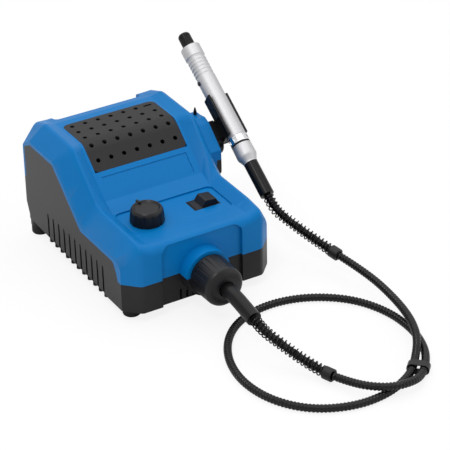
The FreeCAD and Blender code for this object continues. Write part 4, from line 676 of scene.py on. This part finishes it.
ventCover = {
    "halfWidth": 0.0475,
    "thickness": 0.0024,
    "foot": (0.0075, 0.09627),      # y and z of the lower edge
    "corner": (0.02989, 0.1153),    # where the slope and the top would meet
    "back": 0.0719,
    "bendRadius": 0.024,
    "bendSteps": 20,
    "footCorner": 0.0045,
    "backCorner": 0.006,
    "cornerSteps": 8,
    "runSteps": 4,
    "holeRadius": 0.0021,
    "holes": 7,
    "holePitch": 0.01324,
    "rows": 5,
    "firstRow": 0.0658,
    "rowPitch": 0.0125,
    "slopeLead": 0.006,             # a row this far before the corner is drilled square to the slope
    "slotLength": 0.006,            # between the middles of its round ends
    "slotRadius": 0.0012,
    "slotShift": 0.001,
    "cutReach": 0.006,
    "cutSides": 24,
    "sharpFrom": 32,
    "easeFrom": 40,
    "easedEdge": 0.0004,
    "segments": 2,
}


def ventStations():
    # places (y, z) with the outward direction there, up the slope, round the bend and along the top
    v = ventCover
    foot, corner, back = Vector(v["foot"]), Vector(v["corner"]), Vector((v["back"], v["corner"][1]))
    way = (corner - foot).normalized()
    bend = math.atan2(way.y, way.x)
    lead = v["bendRadius"] * math.tan(bend / 2)
    near, run = v["cornerSteps"], v["runSteps"]
    straight, flat = (corner - foot).length - lead, back.x - corner.x - lead
    places = []
    for i in range(near + run + 1):
        if i <= near:
            far = v["footCorner"] * i / near
        else:
            far = v["footCorner"] + (straight - v["footCorner"]) * (i - near) / run
        places.append((foot + way * far, Vector((-way.y, way.x))))
    centre = corner - way * lead + Vector((way.y, -way.x)) * v["bendRadius"]
    for i in range(1, v["bendSteps"]):
        turn = math.pi / 2 + bend * (1 - i / v["bendSteps"])
        out = Vector((math.cos(turn), math.sin(turn)))
        places.append((centre + out * v["bendRadius"], out))
    for i in range(near + run + 1):
        if i <= run:
            far = (flat - v["backCorner"]) * i / run
        else:
            far = flat - v["backCorner"] * (near + run - i) / near
        places.append((corner + Vector((lead + far, 0)), Vector((0, 1))))
    return places


def ventPlate():
    # a bent plate with rounded corners, four points at each station
    v = ventCover
    places = ventStations()
    walked = [0.0]
    for (a, _), (b, _) in zip(places, places[1:]):
        walked.append(walked[-1] + (b - a).length)
    verts, faces = [], []
    for (place, out), at in zip(places, walked):
        half = v["halfWidth"]
        for near, radius in ((at, v["footCorner"]), (walked[-1] - at, v["backCorner"])):
            if near < radius:
                half -= radius - math.sqrt(max(radius ** 2 - (radius - near) ** 2, 0))
        for depth in (0, v["thickness"]):
            for way in (-1, 1):
                spot = place - out * depth
                verts.append((way * half, spot.x, spot.y))
    for i in range(len(places) - 1):
        a, b = 4 * i, 4 * i + 4
        faces += [(a, a + 1, b + 1, b), (a + 3, a + 2, b + 2, b + 3),
                  (a + 2, a, b, b + 2), (a + 1, a + 3, b + 3, b + 1)]
    last = 4 * (len(places) - 1)
    faces += [(1, 0, 2, 3), (last, last + 1, last + 3, last + 2)]
    return meshPiece("ventCover", verts, faces, "grainedVentAbs")


def ventCutter():
    # the round holes, square to the surface on the slope, and the slot at the end of the first row
    v = ventCover
    way = (Vector(v["corner"]) - Vector(v["foot"])).normalized()
    square = (0, -way.y, way.x)
    first = -(v["holes"] - 1) / 2 * v["holePitch"]
    upright, sloped = [], []
    for row in range(v["rows"]):
        y = v["firstRow"] - row * v["rowPitch"]
        z = v["corner"][1]
        onSlope = y < v["corner"][0] - v["slopeLead"]
        if onSlope:
            z = v["foot"][1] + (y - v["foot"][0]) * way.y / way.x
        for column in range(v["holes"]):
            x = first + column * v["holePitch"]
            if row == 0 and column == v["holes"] - 1:
                slot = (x - v["slotShift"], y, z)
            else:
                (sloped if onSlope else upright).append((x, y, z))
    reach, sides = v["cutReach"], v["cutSides"]
    shapes = [rodMesh(upright, (0, 0, 1), v["holeRadius"], reach, sides),
              rodMesh(sloped, square, v["holeRadius"], reach, sides),
              slotMesh(slot, v["slotLength"] / 2, v["slotRadius"], reach, sides)]
    return [meshPiece("holes", verts, faces, "grainedVentAbs") for verts, faces in shapes]


ventPiece = ventPlate()
for cutter in ventCutter():
    cutAway(ventPiece, cutter)
smoothBut(ventPiece, ventCover["sharpFrom"])
easeVent = ventPiece.modifiers.new("easedEdges", "BEVEL")
easeVent.width = ventCover["easedEdge"]
easeVent.segments = ventCover["segments"]
easeVent.limit_method = "ANGLE"
easeVent.angle_limit = math.radians(ventCover["easeFrom"])
evenVent = ventPiece.modifiers.new("evenNormals", "WEIGHTED_NORMAL")
evenVent.keep_sharp = True
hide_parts("vent_cover")
rideAs(ventPiece, "vent_cover")
print("vent cover pierced")

shownPieces = {
    # node: (piece, finish, eased edge in metres, slot)
    "upper_housing": ("blueCover", "mouldedBlueAbs", 0.001, "blue_plastic"),
    "lower_housing": ("darkBase", "mouldedBlackAbs", 0.0005, "dark_plastic"),
    "coupling_nut": ("couplingNut", "blackKnobAbs", 0.0003, "black_plastic"),
    "speed_knob": ("speedKnob", "blackKnobAbs", 0.0003, "black_plastic"),
    "switch_rocker": ("switchRocker", "blackKnobAbs", 0.0003, "black_plastic"),
    "switch_frame": ("switchFrame", "blackKnobAbs", 0.0002, "black_plastic"),
    "handpiece_clip": ("handpieceClip", "blackAcetal", 0.0003, "black_plastic"),
    "shaft_ferrule_drive": ("driveFerrule", "blackAcetal", 0.0003, "black_plastic"),
    "shaft_ferrule_hand": ("handFerrule", "blackAcetal", 0.0003, "black_plastic"),
    "collet_cap": ("colletCap", "blackAcetal", 0, "black_plastic"),
    "foot_front_left": ("footFrontLeft", "blackNitrile", 0.0004, "rubber"),
    "foot_front_right": ("footFrontRight", "blackNitrile", 0.0004, "rubber"),
    "foot_rear_left": ("footRearLeft", "blackNitrile", 0.0004, "rubber"),
    "foot_rear_right": ("footRearRight", "blackNitrile", 0.0004, "rubber"),
    "cable_inlet": ("cableInlet", "blackNitrile", 0.0003, "black_plastic"),
}
for node, (name, finish, bevel, slotName) in shownPieces.items():
    rideAs(copyNode(node, name, finish, bevel), node)
print("dressed", len(shownPieces), "CAD nodes")

plainNodes = {
    "blackAcetal": ["pad_stud", "lock_button", "carbon_brushes", "motor_end_cap", "cooling_fan"],
    "blackNitrile": ["o_ring"],
    "mouldedBlackAbs": ["threaded_nose"],
    "chromedSteel": ["collet"],
}
for node, thing in nodes.items():
    finish = next((f for f, names in plainNodes.items() if node in names), "turnedSteel")
    thing.data.materials.clear()
    thing.data.materials.append(paint[finish])
print("inner nodes painted")

studio = {
    "floorColour": "#F7F7F7",
    "floorReach": 12,
    "floorGlow": 0.85,      # share of plain white that the camera sees in the floor
    "skyStrength": 0.5,
    # lamp: (place, aim, size, power)
    "lamps": {
        "keyLamp": ((-0.9, -0.7, 1.9), (0, -0.05, 0.05), (0.4, 0.4), 11.0),
        "fillLamp": ((1.5, -1.3, 1.0), (0, -0.1, 0.05), (1.6, 1.6), 6.0),
        "topLamp": ((0.2, 0.4, 2.0), (0, 0, 0.05), (3.0, 2.4), 27.0),
    },
}


def addFloor():
    mesh = bpy.data.meshes.new("floor")
    reach = studio["floorReach"]
    corners = [(-reach, -reach, 0), (reach, -reach, 0), (reach, reach, 0), (-reach, reach, 0)]
    mesh.from_pydata(corners, [], [(0, 1, 2, 3)])
    floor = bpy.data.objects.new("floor", mesh)
    scene.collection.objects.link(floor)
    material = bpy.data.materials.new("paleFloor")
    material.use_nodes = True
    tree = material.node_tree
    tree.nodes.clear()
    rays = addNode(tree, "ShaderNodeLightPath")
    matt = addNode(tree, "ShaderNodeBsdfDiffuse", {"in:Color": linearColour(studio["floorColour"])})
    white = addNode(tree, "ShaderNodeEmission", {"in:Color": (1, 1, 1, 1), "in:Strength": 1.0})
    share = addNode(tree, "ShaderNodeMath", {"operation": "MULTIPLY"}, {"0": rays.outputs["Is Camera Ray"]})
    share.inputs[1].default_value = studio["floorGlow"]
    both = addNode(tree, "ShaderNodeMixShader", {},
                   {"0": share.outputs[0], "1": matt.outputs[0], "2": white.outputs[0]})
    addNode(tree, "ShaderNodeOutputMaterial", {}, {"Surface": both.outputs[0]})
    mesh.materials.append(material)


def addSky():
    # plain white to the camera and to shiny pieces, and a softer light on the rest
    world = bpy.data.worlds.new("studio")
    world.use_nodes = True
    tree = world.node_tree
    tree.nodes.clear()
    rays = addNode(tree, "ShaderNodeLightPath")
    clear = addNode(tree, "ShaderNodeMath", {"operation": "MAXIMUM"},
                    {"0": rays.outputs["Is Glossy Ray"], "1": rays.outputs["Is Transmission Ray"]})
    seen = addNode(tree, "ShaderNodeMath", {"operation": "MAXIMUM"},
                   {"0": rays.outputs["Is Camera Ray"], "1": clear.outputs[0]})
    strength = addNode(tree, "ShaderNodeMapRange", {"in:To Min": studio["skyStrength"], "in:To Max": 1.0},
                       {"Value": seen.outputs[0]})
    light = addNode(tree, "ShaderNodeBackground", {"in:Color": (1, 1, 1, 1)},
                    {"Strength": strength.outputs["Result"]})
    addNode(tree, "ShaderNodeOutputWorld", {}, {"Surface": light.outputs[0]})
    scene.world = world


def addLamp(name, place, aim, size, power):
    data = bpy.data.lights.new(name, "AREA")
    data.shape = "RECTANGLE"
    data.size, data.size_y = size
    data.energy = power
    lamp = bpy.data.objects.new(name, data)
    lamp.location = place
    lamp.rotation_euler = (Vector(aim) - Vector(place)).to_track_quat("-Z", "Y").to_euler()
    scene.collection.objects.link(lamp)


addFloor()
addSky()
for lampName, (place, aim, size, power) in studio["lamps"].items():
    addLamp(lampName, place, aim, size, power)
scene.view_settings.view_transform = "Standard"
print("studio set")
